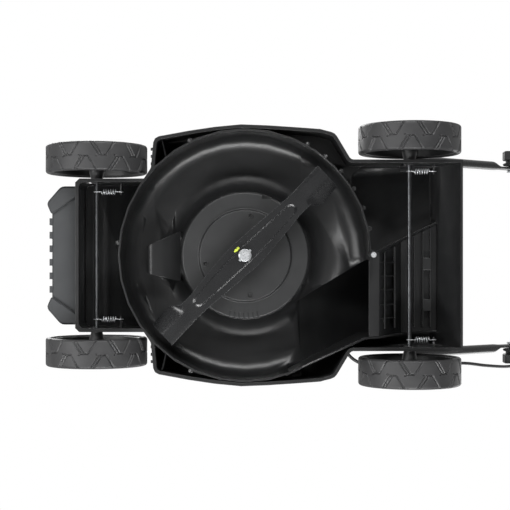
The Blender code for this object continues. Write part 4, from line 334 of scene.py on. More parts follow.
# Copies of a sector turned round Y: inputs are the sector, how many, and the material.
def repeatTree(name):
    tree = bpy.data.node_groups.new(name, "GeometryNodeTree")
    tree.interface.new_socket("Sector", in_out="INPUT", socket_type="NodeSocketGeometry")
    tree.interface.new_socket("Count", in_out="INPUT", socket_type="NodeSocketInt")
    tree.interface.new_socket("Material", in_out="INPUT", socket_type="NodeSocketMaterial")
    tree.interface.new_socket("Ring", in_out="OUTPUT", socket_type="NodeSocketGeometry")
    given = addNode(tree, "NodeGroupInput").outputs
    line = addNode(tree, "GeometryNodeMeshLine", {"Count": given["Count"], "Offset": (0, 0, 0)})
    index = addNode(tree, "GeometryNodeInputIndex").outputs[0]
    step = addNode(tree, "ShaderNodeMath", {0: math.tau, 1: given["Count"]}, operation="DIVIDE").outputs[0]
    angle = addNode(tree, "ShaderNodeMath", {0: index, 1: step}, operation="MULTIPLY").outputs[0]
    turn = addNode(tree, "ShaderNodeCombineXYZ", {"Y": angle}).outputs[0]
    spread = {"Points": line.outputs[0], "Instance": given["Sector"], "Rotation": turn}
    copies = addNode(tree, "GeometryNodeInstanceOnPoints", spread)
    real = addNode(tree, "GeometryNodeRealizeInstances", {0: copies.outputs[0]})
    merged = addNode(tree, "GeometryNodeMergeByDistance", {"Geometry": real.outputs[0], "Distance": 0.00001})
    painted = addNode(tree, "GeometryNodeSetMaterial", {"Geometry": merged.outputs[0],
                                                        "Material": given["Material"]})
    addNode(tree, "NodeGroupOutput", {0: painted.outputs[0]})
    return tree


def repeatRound(piece, tree, count, slotName):
    maker = piece.modifiers.new("repeat", "NODES")
    maker.node_group = tree
    values = {"Count": count, "Material": materials[slotName]}
    for item in tree.interface.items_tree:
        if item.in_out == "INPUT" and item.name in values:
            maker[item.identifier] = values[item.name]
    return settle(piece)


ringTree = repeatTree("repeat_round")


# Tyres with their tread, rims and hubcaps

tyre = dict(repeats=9, along=58, across=46, depth=0.0017, grooveHalf=0.0011, edge=0.00035, wall=0.009,
            width=0.050, frontRadius=0.0890, rearRadius=0.0905, shoulder=0.0045, shoulderDrop=0.0048,
            bead=0.0075, beadInset=0.0004, boreInset=0.0024, fade=0.0040, fadeLength=0.002)
# Grooves of one repeat, each from (repeats along, share of the half width) to the same.
treadLines = (((0.06, -1.0), (0.30, -0.04)), ((0.66, -1.0), (0.40, -0.04)), ((0.75, -1.0), (0.49, -0.04)),
              ((0.30, -0.04), (0.49, -0.04)), ((0.49, -0.04), (0.56, 0.04)),
              ((0.56, 1.0), (0.80, 0.04)), ((1.16, 1.0), (0.90, 0.04)), ((1.25, 1.0), (0.99, 0.04)),
              ((0.80, 0.04), (0.99, 0.04)), ((0.99, 0.04), (1.06, -0.04)))


# Depth of the grooves at points along the tread (in repeats) and across it (from -1 to 1).
def treadDepth(along, across, repeatLength, half):
    nearest = np.full(along.shape, 1.0)
    for shift in (-1, 0, 1):
        for (startAlong, startAcross), (endAlong, endAcross) in treadLines:
            ax = (startAlong + shift) * repeatLength
            ay = startAcross * half
            dx = (endAlong + shift) * repeatLength - ax
            dy = endAcross * half - ay
            px = along * repeatLength - ax
            py = across * half - ay
            share = np.clip((px * dx + py * dy) / (dx * dx + dy * dy), 0, 1)
            nearest = np.minimum(nearest, np.hypot(px - share * dx, py - share * dy))
    low = tyre["grooveHalf"] - tyre["edge"]
    share = np.clip((nearest - low) / (2 * tyre["edge"]), 0, 1)
    return tyre["depth"] * (1 - share * share * (3 - 2 * share))


def tyreSector(name, radius):
    half = tyre["width"] / 2
    flat = half - tyre["shoulder"]
    shoulder = [(radius - tyre["shoulderDrop"] * (1 - math.cos(a)), flat + tyre["shoulder"] * math.sin(a))
                for a in (math.radians(18 * step) for step in range(1, 6))]
    inner = [(radius - tyre["bead"], half - tyre["beadInset"]),
             (radius - tyre["wall"], half - tyre["boreInset"])]
    treadAcross = np.linspace(-flat, flat, tyre["across"])
    profile = [(r, -y) for r, y in reversed(shoulder + inner)]
    profile += [(radius, y) for y in treadAcross]
    profile += shoulder + inner
    radii = np.array([r for r, y in profile])
    sides = np.array([y for r, y in profile])
    steps = tyre["along"]
    angles = np.arange(steps + 1) / steps
    repeatLength = math.tau * radius / tyre["repeats"]
    along, across = np.meshgrid(angles, sides / half, indexing="ij")
    depth = treadDepth(along, across, repeatLength, half)
    depth *= np.clip((radii[None, :] - (radius - tyre["fade"])) / tyre["fadeLength"], 0, 1)
    reach = radii[None, :] - depth
    turn = along * math.tau / tyre["repeats"]
    sideways = np.broadcast_to(sides, reach.shape)
    spots = np.stack((reach * np.cos(turn), sideways, -reach * np.sin(turn)), axis=-1)
    bm = bmesh.new()
    rows = [[bm.verts.new(spot) for spot in row] for row in spots]
    count = len(profile)
    for first, second in zip(rows, rows[1:]):
        for index in range(count):
            after = (index + 1) % count
            bm.faces.new((first[index], first[after], second[after], second[index]))
    return fromBmesh(name, bm, "tyre_grey", 180)


# Faces outwards, smooth, with sharp edges kept.
def orient(piece):
    bm = bmesh.new()
    bm.from_mesh(piece.data)
    bmesh.ops.recalc_face_normals(bm, faces=bm.faces[:])
    bm.to_mesh(piece.data)
    bm.free()
    piece.data.shade_smooth()


rimLook = dict(hub=0.0135, hubTaper=0.72, lip=0.003, lipTaper=0.001, webDepth=0.018, web=0.0035,
               webRing=0.016, wallRoot=0.0035, wallFoot=0.0045, spokes=5, sides=80, hubSides=48,
               frontBoss=0.010, rearBoss=0.012, bore=0.0045, seatGap=0.0003, cap=0.042, spokeRoot=0.009,
               spokeTip=0.0135,
               spokeLap=0.004, skin=0.0001, ribHalf=0.0012, ribTopHalf=0.0010, ribLap=0.003, ribEnd=0.006,
               ribSlope=0.002, ribRise=0.003)


# Dished rim, its outer side towards +Y, with five ribbed spokes.
def rimMesh(name, radius, boss):
    look = rimLook
    half = tyre["width"] / 2
    seat = radius - tyre["wall"] - look["seatGap"]
    hub = look["hub"]
    low = half - look["webDepth"]
    high = low + look["web"]
    lip = half - look["lip"]
    ring = [(seat - look["lip"], -lip), (seat, -lip), (seat, lip),
            (seat - look["lip"], lip - look["lipTaper"]), (seat - look["wallFoot"], high),
            (seat - look["webRing"], high), (seat - look["webRing"], low), (seat - look["wallRoot"], low)]
    hubRing = hub + look["webRing"]
    core = [(look["bore"], -half - boss), (hub * look["hubTaper"], -half - boss), (hub, -half + 0.004),
            (hub + 0.001, low), (hubRing, low), (hubRing, high), (look["bore"], high)]
    bm = bmesh.new()
    addLathe(bm, filleted(ring, 0.0009), look["sides"], axis="Y")
    addLathe(bm, filleted(core, 0.0007), look["hubSides"], axis="Y")
    top = high - look["skin"]
    root = hubRing - look["spokeLap"]
    tip = seat - look["webRing"] + look["spokeLap"]
    spoke = taper(root, tip, look["spokeRoot"], look["spokeTip"])
    ribStart = hubRing - look["ribLap"]
    ribEnd = seat - look["ribEnd"]
    rib = taper(ribStart, ribEnd, look["ribHalf"], look["ribHalf"])
    ribTop = taper(ribStart, ribEnd - look["ribSlope"], look["ribTopHalf"], look["ribTopHalf"])
    for index in range(look["spokes"]):
        turn = Matrix.Rotation(math.tau * index / look["spokes"], 4, "Y")
        addSlab(bm, turn, spoke, low + look["skin"], spoke, top)
        addSlab(bm, turn, rib, top, ribTop, top + look["ribRise"])
    return fromBmesh(name, bm, "rim_black")


capLook = dict(inset=0.002, middle=0.006, button=0.0058, buttonInset=0.0005, sheet=0.003, drop=0.008,
               fillet=0.0012)


def hubcapMesh(name):
    half = tyre["width"] / 2
    seat = half - rimLook["webDepth"] + rimLook["web"] + rimLook["seatGap"]
    face = half - capLook["inset"]
    cap = rimLook["cap"]
    middle = capLook["middle"]
    button = capLook["button"]
    buttonFace = face - capLook["buttonInset"]
    sheet = capLook["sheet"]
    edge = face - capLook["drop"]
    profile = [(middle, face), (cap * 0.25, face), (cap * 0.6, face - 0.001), (cap, edge), (cap, seat),
               (cap - sheet, seat), (cap - sheet, edge - 0.001), (cap * 0.6, face - 0.004),
               (middle, face - sheet)]
    bm = bmesh.new()
    addLathe(bm, filleted(profile, capLook["fillet"]), 64, axis="Y")
    disc = [(0, buttonFace), (button, buttonFace), (button, face - sheet), (0, face - sheet)]
    addLathe(bm, disc, 32, axis="Y")
    return fromBmesh(name, bm, "rim_black")


# Mirrors a piece built for the right side when it goes on the left.
def placeWheelPiece(piece, centre, side):
    place = Matrix.Translation(centre)
    if side == "left":
        place = place @ Matrix.Scale(-1, 4, Vector((0, 1, 0)))
    piece.data.transform(place)
    orient(piece)
    piece.data.set_sharp_from_angle(angle=math.radians(38))


def buildWheels():
    for end in ("front", "rear"):
        radius = tyre[end + "Radius"]
        for side in ("left", "right"):
            stem = f"{end}_{side}_"
            low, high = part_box(stem + "tyre")
            centre = (low + high) / 2
            centre.z = jointOf[stem + "wheel_roll"]["pos_m"][2]
            centre.x = jointOf[stem + "wheel_roll"]["pos_m"][0]
            sector = tyreSector(stem + "tyre_look", radius)
            rubber = repeatRound(sector, ringTree, tyre["repeats"], "tyre_grey")
            placeWheelPiece(rubber, centre, side)
            keep(rubber, stem + "tyre")
            hubRim = rimMesh(stem + "rim_look", radius, rimLook[end + "Boss"])
            placeWheelPiece(hubRim, centre, side)
            keep(hubRim, stem + "rim")
            cap = hubcapMesh(stem + "hubcap_look")
            placeWheelPiece(cap, centre, side)
            keep(cap, stem + "hubcap")


buildWheels()
print("stage: wheels")


# Blade, bolt and washer

bladeLook = dict(stations=161, across=33, halfLength=0.200, z=0.0580, thickness=0.0032,
                 turn=math.radians(-44), sail=0.015, emboss=0.002, embossHalf=0.1225, embossEdge=0.0022,
                 embossShare=0.52, embossCorner=0.010, middle=0.028, neck=0.118, neckLead=0.021,
                 neckTrail=0.016,
                 sailStart=0.140, sailBlend=0.020, cutStart=0.135, cutBlend=0.01, cutShare=0.72, cutThin=0.75)


def smoothStep(value):
    value = min(max(value, 0.0), 1.0)
    return value * value * (3 - 2 * value)


# Cut and back edges of the blade at a distance from its centre, with the sail's lift.
def bladeSection(reach):
    look = bladeLook
    lead = look["neckLead"]
    trail = look["neckTrail"]
    if reach < look["neck"]:
        inward = reach / look["neck"]
        return (look["middle"] - (look["middle"] - lead) * inward,
                look["middle"] - (look["middle"] - trail) * inward ** 1.5, 0.0)
    if reach < look["sailStart"]:
        return lead, trail, 0.0
    share = smoothStep((reach - look["sailStart"]) / look["sailBlend"])
    tip = (reach - look["sailStart"]) / (look["halfLength"] - look["sailStart"])
    return lead + 0.0034 * tip, trail + 0.013 * share - 0.0046 * max(tip - 0.33, 0), look["sail"] * share


def bladeHeight(station, share, width, lift):
    panel = bladeLook["embossHalf"] - abs(station)
    sideGap = (bladeLook["embossShare"] - abs(share)) * width
    corner = bladeLook["embossCorner"]
    if panel < corner and sideGap < corner:
        inside = corner - math.hypot(corner - panel, corner - sideGap)
    else:
        inside = min(panel, sideGap)
    height = -bladeLook["emboss"] * smoothStep(inside / bladeLook["embossEdge"])
    return height + lift * max(share, 0.0) ** 1.4


# One face of the blade as rows of points, half a thickness off its middle.
def bladeGrid(bm, side):
    look = bladeLook
    half = look["halfLength"]
    grid = []
    for row in range(look["stations"]):
        station = -half + 2 * half * row / (look["stations"] - 1)
        end = 1 if station >= 0 else -1
        lead, trail, lift = bladeSection(abs(station))
        sharpened = look["cutThin"] * smoothStep((abs(station) - look["cutStart"]) / look["cutBlend"])
        line = []
        for column in range(look["across"]):
            share = end * (-1 + 2 * column / (look["across"] - 1))
            width = lead if share < 0 else trail
            height = bladeHeight(station, share, width, lift)
            cut = max(-share - look["cutShare"], 0) / (1 - look["cutShare"])
            thick = look["thickness"] * (1 - sharpened * cut)
            line.append(bm.verts.new((station, share * width * end, height + side * thick / 2)))
        grid.append(line)
    return grid


def buildBlade():
    bm = bmesh.new()
    lower = bladeGrid(bm, -1)
    upper = bladeGrid(bm, 1)
    rows = len(lower)
    columns = len(lower[0])
    for grid in (lower, upper):
        for row in range(rows - 1):
            for column in range(columns - 1):
                bm.faces.new((grid[row][column], grid[row + 1][column], grid[row + 1][column + 1],
                              grid[row][column + 1]))
    border = [(0, c) for c in range(columns)] + [(r, columns - 1) for r in range(1, rows)]
    border += [(rows - 1, c) for c in range(columns - 2, -1, -1)] + [(r, 0) for r in range(rows - 2, 0, -1)]
    for (r1, c1), (r2, c2) in zip(border, border[1:] + border[:1]):
        bm.faces.new((lower[r1][c1], lower[r2][c2], upper[r2][c2], upper[r1][c1]))
    middle = bladeLook["z"] + bladeLook["thickness"] / 2 + bladeLook["emboss"]
    bm.transform(Matrix.Translation((home, 0, middle)) @ Matrix.Rotation(bladeLook["turn"], 4, "Z"))
    keep(fromBmesh("blade_look", bm, "blade_black", 40), "blade")


boltLook = dict(head=0.0088, headHeight=0.0062, bevel=0.0006, flange=0.0102, flangeHeight=0.0013, shank=0.005,
                shankEnd=0.019, washer=0.0113, washerHeight=0.003, washerStep=0.002, washerRise=0.0012,
                bore=0.0053, gap=0.0003, ear=(0.005, 0.004, 0.0018))
# Paint dabs beside the bolt, each as (x, y, radius) from the blade's middle.
markDabs = ((-0.0150, -0.0090, 0.0030), (-0.0120, -0.0125, 0.0026), (-0.0175, -0.0068, 0.0018))


def buildBolt():
    look = boltLook
    top = bladeLook["z"] - 2 * look["gap"] - look["washerHeight"]
    headMiddle = top - look["flangeHeight"] - look["headHeight"] / 2
    low = top - look["flangeHeight"]
    bm = bmesh.new()
    bmesh.ops.create_cone(bm, cap_ends=True, segments=6, radius1=look["head"], radius2=look["head"],
                          depth=look["headHeight"], matrix=Matrix.Translation((home, 0, headMiddle)))
    bmesh.ops.bevel(bm, geom=bm.edges[:], offset=look["bevel"], segments=3, affect="EDGES")
    flange = [(0, low), (look["flange"] - 0.0004, low), (look["flange"], top), (0, top)]
    addLathe(bm, filleted(flange, 0.0003), 40, (home, 0, 0))
    addRod(bm, (home, 0, top - 0.001), (home, 0, bladeLook["z"] + look["shankEnd"]), look["shank"], 24)
    keep(fromBmesh("blade_bolt_look", bm, "zinc"), "blade_bolt")


def buildWasher():
    look = boltLook
    high = bladeLook["z"] - look["gap"]
    low = high - look["washerHeight"]
    rim = look["washer"]
    profile = [(look["bore"], high), (look["bore"], low), (rim - look["washerStep"], low),
               (rim, low + look["washerRise"]), (rim, high)]
    bm = bmesh.new()
    addLathe(bm, filleted(profile, 0.0004), 48, (home, 0, 0))
    turn = Matrix.Rotation(bladeLook["turn"], 4, "Z")
    for side in (-1, 1):
        place = Matrix.Translation((home, 0, high - look["ear"][2] / 2)) @ turn
        addCuboid(bm, place @ Matrix.Translation((side * rim, 0, 0)), look["ear"])
    keep(fromBmesh("blade_washer_look", bm, "zinc"), "blade_washer")


def buildMark():
    bm = bmesh.new()
    for x, y, size in markDabs:
        place = Matrix.Translation((home + x, y, bladeLook["z"])) @ Matrix.Diagonal((1, 0.8, 0.12, 1))
        bmesh.ops.create_uvsphere(bm, u_segments=20, v_segments=10, radius=size, matrix=place)
    keep(fromBmesh("torque_mark", bm, "paint_mark"), body="blade_assembly", slotName="blade_black")


buildBlade()
buildBolt()
buildWasher()
buildMark()
print("stage: blade")


# Motor cover

coverLook = dict(radius=0.1125, disc=0.082, ringZ=0.092, discZ=0.085, sheet=0.003, seatZ=0.097, gap=0.0003,
                 wall=0.004, bore=0.012, sides=144, fillet=0.0011, screws=0.071, screwAngles=(-82, 83, 168),
                 hole=0.0034, slots=7, slotStart=77.5, slotPitch=4.5, slotInset=0.003,
                 slotSize=(0.017, 0.0030, 0.003), notchX=0.0395, notchY=-0.1135,
                 notchSize=(0.019, 0.026, 0.012))
screwLook = dict(inner=0.0022, outer=0.0031, low=0.0016, high=0.0028, slotLow=0.0022, slotHigh=0.0029,
                 slot=0.0023, collarBore=0.0038, collarTip=0.0052, collarRim=0.0056, collarLow=-0.0007,
                 collarHigh=0.0002)


def cutWith(piece, cutter):
    maker = piece.modifiers.new("cut", "BOOLEAN")
    maker.operation = "DIFFERENCE"
    maker.solver = "EXACT"
    maker.object = cutter
    settle(piece)
    mesh = cutter.data
    bpy.data.objects.remove(cutter)
    bpy.data.meshes.remove(mesh)


# Middle points of the cover's three screws.
def screwPlaces():
    reach = coverLook["screws"]
    return [(home + reach * math.cos(math.radians(angle)), reach * math.sin(math.radians(angle)))
            for angle in coverLook["screwAngles"]]


def coverShell():
    look = coverLook
    rim = look["radius"]
    step = look["disc"]
    low = look["discZ"]
    ring = look["ringZ"]
    seat = look["seatZ"] - look["gap"]
    sheet = look["sheet"]
    inner = rim - look["wall"]
    profile = [(look["bore"], low + sheet), (look["bore"], low), (step - 0.002, low), (step + 0.001, ring),
               (rim - 0.002, ring), (rim, ring + 0.002), (rim, seat), (inner, seat), (inner, ring + sheet),
               (step - 0.002, ring + sheet), (step - 0.005, low + sheet)]
    bm = bmesh.new()
    addLathe(bm, filleted(profile, look["fillet"], 4), look["sides"], (home, 0, 0))
    return fromBmesh("motor_cover_look", bm, "cover_black")


# Screw holes, the comb of vent slots and the notch.
def coverCuts():
    look = coverLook
    cuts = bmesh.new()
    for x, y in screwPlaces():
        addRod(cuts, (x, y, look["discZ"] - 0.002), (x, y, look["discZ"] + 0.01), look["hole"], 28)
    for index in range(look["slots"]):
        angle = math.radians(look["slotStart"] + look["slotPitch"] * index)
        place = Matrix.Translation((home, 0, look["ringZ"])) @ Matrix.Rotation(angle, 4, "Z")
        place = place @ Matrix.Translation((look["radius"] - look["slotInset"], 0, 0))
        addCuboid(cuts, place, look["slotSize"])
    place = Matrix.Translation((home + look["notchX"], look["notchY"], look["ringZ"]))
    addCuboid(cuts, place, look["notchSize"])
    return fromBmesh("cover_cuts", cuts, "cover_black")


def buildCover():
    cover = coverShell()
    cutWith(cover, coverCuts())
    orient(cover)
    cover.data.set_sharp_from_angle(angle=math.radians(35))
    keep(cover, "motor_cover")


def buildCoverScrews():
    look = screwLook
    face = coverLook["discZ"]
    bm = bmesh.new()
    ring = [(look["inner"], face + look["low"]), (look["outer"], face + look["low"]),
            (look["outer"], face + look["high"]), (look["inner"], face + look["high"])]
    collar = [(look["collarBore"], face + look["collarLow"]), (look["collarTip"], face + look["collarLow"]),
              (look["collarRim"], face + look["collarHigh"]), (look["collarBore"], face + look["collarHigh"])]
    for x, y in screwPlaces():
        addLathe(bm, ring, 24, (x, y, 0))
        addRod(bm, (x, y, face + look["slotLow"]), (x, y, face + look["slotHigh"]), look["slot"], 6)
        addLathe(bm, filleted(collar, 0.0003), 32, (x, y, 0))
    keep(fromBmesh("cover_screws", bm, "cover_black"), body="root", slotName="cover_black")


buildCover()
buildCoverScrews()
print("stage: cover")


# Springs

springLook = dict(wire=0.0018, radius=0.0044, pitch=0.0042, curls=6, perCurl=24, lead=0.009, peg=0.0025,
                  rod=0.004, gap=0.0003, hookSteps=14)


def arcPoints(centre, radius, first, last, steps):
    angles = (math.radians(first + (last - first) * step / steps) for step in range(steps + 1))
    return [(centre[0] + radius * math.cos(angle), centre[1] + radius * math.sin(angle)) for angle in angles]


# Hook round the axle, coil, and hook round the peg, as one line of wire.
def springPoints(x, y, z, rearEnd):
    look = springLook
    wire = look["wire"] / 2
    rodHook = look["rod"] + look["gap"] + wire
    pegHook = look["peg"] + look["gap"] + wire
    points = [(px, y, pz) for px, pz in arcPoints((x, z), rodHook, 60, 270, look["hookSteps"])]
    for step in range(look["curls"] * look["perCurl"] + 1):
        turn = math.tau * step / look["perCurl"]
        points.append((x + look["lead"] + look["pitch"] * step / look["perCurl"],
                       y + look["radius"] * math.sin(turn), z - look["radius"] * math.cos(turn)))
    peg = rearEnd - pegHook - wire
    return points + [(px, y, pz) for px, pz in arcPoints((peg, z), pegHook, 270, 470, look["hookSteps"])]


def buildAxleSprings():
    for end, parent in (("front", "front_axle"), ("rear", "rear_axle")):
        for side in ("left", "right"):
            stem = f"{end}_{side}_"
            low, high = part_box(stem + "spring")
            x, _, z = jointOf[stem + "wheel_roll"]["pos_m"]
            y = (low.y + high.y) / 2
            points = springPoints(x, y, z, high.x)
            piece = sweep(stem + "spring_look", points, springLook["wire"] / 2, "zinc", 12)
            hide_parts(stem + "spring")
            replaced.add(stem + "spring")
            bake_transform(piece)


buildAxleSprings()
print("stage: springs")


# Small fastenings on the deck that the photograph shows

pegLook = dict(rootX=-0.1555, tipX=-0.1636, z=0.0520, radius=0.0027, across=(0.1845, 0.1720, 0.1590))


def buildDeckTrim():
    look = pegLook
    bm = bmesh.new()
    for side in (-1, 1):
        for y in look["across"]:
            root = (home + look["rootX"], side * y, look["z"])
            tip = (home + look["tipX"], side * y, look["z"])
            addRod(bm, root, tip, look["radius"], 20)
    keep(fromBmesh("corner_pegs", bm, "deck_black"), body="root", slotName="deck_black")


buildDeckTrim()
print("stage: deck trim")


# Handle tubes, bail, carry handle and cable, swept finer than their frames

handleLook = dict(radius=0.0085, y=0.181, flatHalf=0.0035, flatLength=0.030, flatBlend=0.022, overhang=0.016,
                  lowerIncline=math.radians(35), upperIncline=math.radians(50), length=0.796, corner=0.060,
                  footX=0.315, footZ=0.212, footReach=0.015, gap=0.0003, sides=28, nearStep=0.003,
                  nearSteps=24)
foldPoint = Vector(jointOf["handle_fold"]["pos_m"])
foldPoint.y = 0
upperWay = Vector((math.cos(handleLook["upperIncline"]), 0, math.sin(handleLook["upperIncline"])))
upperOff = Vector((-math.sin(handleLook["upperIncline"]), 0, math.cos(handleLook["upperIncline"])))
lowerWay = Vector((math.cos(handleLook["lowerIncline"]), 0, math.sin(handleLook["lowerIncline"])))


# Points along a leg, close together where its end is pressed flat.
def legPoints(start, way, length, flatAtStart):
    near = [handleLook["nearStep"] * step for step in range(handleLook["nearSteps"])]
    distances = near + [length]
    if not flatAtStart:
        distances = [length - distance for distance in reversed(distances)]
    return [start + way * distance for distance in distances]


# Presses one leg's end flat beside its neighbour at the fold joint.
def pressFlat(piece, way, side):
    look = handleLook
    outward = 1 if way.dot(upperWay) > 0 else -1
    shift = outward * side * (look["flatHalf"] + look["gap"] / 2)
    for vertex in piece.data.vertices:
        if vertex.co.y * side < 0:
            continue
        along = (vertex.co - foldPoint).dot(way)
        share = smoothStep((look["flatLength"] + look["flatBlend"] - along) / look["flatBlend"])
        middle = side * look["y"]
        scale = 1 - share * (1 - look["flatHalf"] / look["radius"])
        vertex.co.y = middle + (vertex.co.y - middle) * scale + shift * share


def buildHandle():
    look = handleLook
    foot = Vector((home + look["footX"], 0, look["footZ"]))
    start = foot - lowerWay * look["footReach"]
    length = (foldPoint + lowerWay * look["overhang"] - start).length
    for side, name in ((-1, "handle_lower_left"), (1, "handle_lower_right")):
        points = [p + Vector((0, side * look["y"], 0)) for p in legPoints(start, lowerWay, length, False)]
        piece = sweep(name + "_look", points, look["radius"], "tube_black", look["sides"])
        pressFlat(piece, -lowerWay, side)
        keep(piece, name)
    start = foldPoint - upperWay * look["overhang"]
    bendStart = foldPoint + upperWay * (look["length"] - look["corner"])
    leg = legPoints(start, upperWay, (bendStart - start).length, True)
    bend = [bendStart + upperWay * look["corner"] * math.sin(angle)
            + Vector((0, look["corner"] * (math.cos(angle) - 1), 0))
            for angle in (math.radians(4.5 * step) for step in range(1, 21))]
    right = [p + Vector((0, look["y"], 0)) for p in leg + bend]
    points = right + [Vector((p.x, -p.y, p.z)) for p in reversed(right)]
    piece = sweep("handle_upper_look", points, look["radius"], "tube_black", look["sides"])
    for side in (-1, 1):
        pressFlat(piece, upperWay, side)
    keep(piece, "handle_upper")


bailLook = dict(radius=0.004975, reach=0.136, offset=0.022, half=0.158, open=math.radians(24), corner=0.030,
                elbow=0.004, pin=0.014, topInset=0.0007)


def buildBail():
    look = bailLook
    pivot = foldPoint + upperWay * (handleLook["length"] - look["reach"]) + upperOff * look["offset"]
    arm = upperWay * math.cos(look["open"]) + upperOff * math.sin(look["open"])
    side = Vector((0, look["half"], 0))
    elbow = look["elbow"]
    turn = [pivot + side + Vector((0, elbow * (1 - math.sin(a)), 0)) + arm * elbow * (1 - math.cos(a))
            for a in (math.radians(15 * step) for step in range(7))]
    points = [pivot + side + Vector((0, look["pin"], 0))] + turn
    reach = look["reach"] - look["corner"] - look["topInset"]
    points += [pivot + side + arm * reach * share for share in (0.3, 0.7)]
    points += [pivot + arm * (reach + look["corner"] * math.sin(a))
               + Vector((0, look["half"] - look["corner"] + look["corner"] * math.cos(a), 0))
               for a in (math.radians(7.5 * step) for step in range(13))]
    points += [Vector((p.x, -p.y, p.z)) for p in reversed(points)]
    keep(sweep("bail_lever_look", points, look["radius"], "tube_black", 20), "bail_lever")


carryLook = dict(x=0.062, half=0.055, low=0.286, rise=0.036, radius=0.009, corner=0.020, sides=28,
                 foot=(0.028, 0.022, 0.004), footBevel=0.0014)


def buildCarryHandle():
    look = carryLook
    low = look["low"] + handleLook["gap"]
    high = look["low"] + look["rise"]
    x = home + look["x"]
    corner = look["corner"]
    half = [(x, look["half"], low), (x, look["half"], high - corner)]
    half += [(x, look["half"] - corner + corner * math.cos(a), high - corner + corner * math.sin(a))
             for a in (math.radians(7.5 * step) for step in range(1, 13))]
    points = half + [(px, -py, pz) for px, py, pz in reversed(half)]
    handle = sweep("carry_handle_line", points, look["radius"], "hood_grey", look["sides"])
    bm = bmesh.new()
    bm.from_mesh(handle.data)
    for side in (-1, 1):
        place = Matrix.Translation((x, side * look["half"], low + look["foot"][2] / 2))
        foot = addCuboid(bm, place, look["foot"])
        edges = list(dict.fromkeys(edge for vertex in foot for edge in vertex.link_edges))
        bmesh.ops.bevel(bm, geom=edges, offset=look["footBevel"], segments=3, affect="EDGES")
    bpy.data.objects.remove(handle)
    keep(fromBmesh("carry_handle_look", bm, "hood_grey"), "carry_handle")


# Points read from a smooth curve through a route's own points.
def smoothRoute(points, steps):
    ends = [Vector(points[0]) * 2 - Vector(points[1])] + [Vector(p) for p in points]
    ends.append(Vector(points[-1]) * 2 - Vector(points[-2]))
    result = []
    for index in range(1, len(ends) - 2):
        a, b, c, d = ends[index - 1:index + 3]
        for step in range(steps):
            t = step / steps
            result.append(0.5 * (2 * b + (c - a) * t + (2 * a - 5 * b + 4 * c - d) * t ** 2
                                 + (3 * b - a - 3 * c + d) * t ** 3))
    result.append(ends[-2])
    return result


cableLook = dict(radius=0.003, sideY=0.1951, clips=(0.25, 0.50), end=0.6135, clipReach=0.03, steps=9,
                 sides=16, bendBelow=0.06, bendAbove=0.10)


# The cable's route was chosen point by point, from the hood past the rear wheel and up the handle.
def buildCable():
    look = cableLook
    loose = [(0.138, 0.0985, 0.190), (0.150, 0.115, 0.192), (0.166, 0.142, 0.193), (0.182, 0.170, 0.194),
             (0.204, 0.194, 0.199), (0.246, 0.210, 0.211), (0.300, 0.213, 0.223), (0.355, 0.208, 0.236),
             (0.414, 0.204, 0.258), (0.470, 0.212, 0.298), (0.524, 0.2175, 0.346), (0.580, 0.2140, 0.415)]
    first, second = look["clips"]
    reach = look["clipReach"]
    distances = (first - 2 * reach, first - reach, first + reach, (first + second) / 2, second - reach,
                 second + reach, look["end"] - 0.004)
    held = [foldPoint + upperWay * distance + Vector((0, look["sideY"], 0)) for distance in distances]
    points = smoothRoute([(home + x, y, z) for x, y, z in loose] + held, look["steps"])
    piece = sweep("switch_cable_look", points, look["radius"], "cable_black", look["sides"])
    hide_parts("switch_cable")
    replaced.add("switch_cable")
    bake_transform(piece)
    print("cable length", round(sum((b - a).length for a, b in zip(points, points[1:])), 3), "m")


buildHandle()
buildBail()
buildCarryHandle()
buildCable()
print("stage: handle and cable")


# The deck's five blocks, joined again into the one moulding that they are cut from

deckBlocks = ("deck_front", "deck_left", "deck_right", "deck_rear_left", "deck_rear_right")
seamReach = 0.00045


# The three planes between the blocks, as (axis, place).
def seamPlanes():
    boxes = {name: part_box(name) for name in deckBlocks}
    return ((0, (boxes["deck_front"][1].x + boxes["deck_left"][0].x) / 2),
            (0, (boxes["deck_left"][1].x + boxes["deck_rear_left"][0].x) / 2),
            (1, (boxes["deck_left"][1].y + boxes["deck_right"][0].y) / 2),
            (1, (boxes["deck_rear_left"][1].y + boxes["deck_rear_right"][0].y) / 2))


def onPlane(vertex, axis, place):
    return abs(vertex.co[axis] - place) < seamReach


def buildDeck():
    bm = bmesh.new()
    for name in deckBlocks:
        bm.from_mesh(nodes[name].data)
    bmesh.ops.remove_doubles(bm, verts=bm.verts[:], dist=0.00001)
    planes = seamPlanes()
    inside = [face for face in bm.faces
              if any(all(onPlane(vertex, axis, place) for vertex in face.verts) for axis, place in planes)
              and max(abs(face.normal.x), abs(face.normal.y)) > 0.999]
    bmesh.ops.delete(bm, geom=inside, context="FACES")
    seam = [vertex for vertex in bm.verts
            if vertex.is_boundary and any(onPlane(vertex, axis, place) for axis, place in planes)]
    for vertex in seam:
        for axis, place in planes:
            if onPlane(vertex, axis, place):
                vertex.co[axis] = place
    bmesh.ops.remove_doubles(bm, verts=seam, dist=0.00006)
    bmesh.ops.dissolve_limit(bm, angle_limit=math.radians(0.3), verts=bm.verts[:], edges=bm.edges[:])
    print("deck seam edges left open", sum(1 for edge in bm.edges if edge.is_boundary))
    keep(fromBmesh("deck_look", bm, "deck_black", 34), *deckBlocks)


buildDeck()
print("stage: deck")


# Every other node: its own shape with soft edges and its finish

softEdges = dict(front_bumper=0.0009, chute_floor=0.0004, battery_lid=0.0009, battery_pack=0.0012,
                 switch_box=0.0010, bail_bracket=0.0008, safety_key=0.0006, start_button=0.0007)


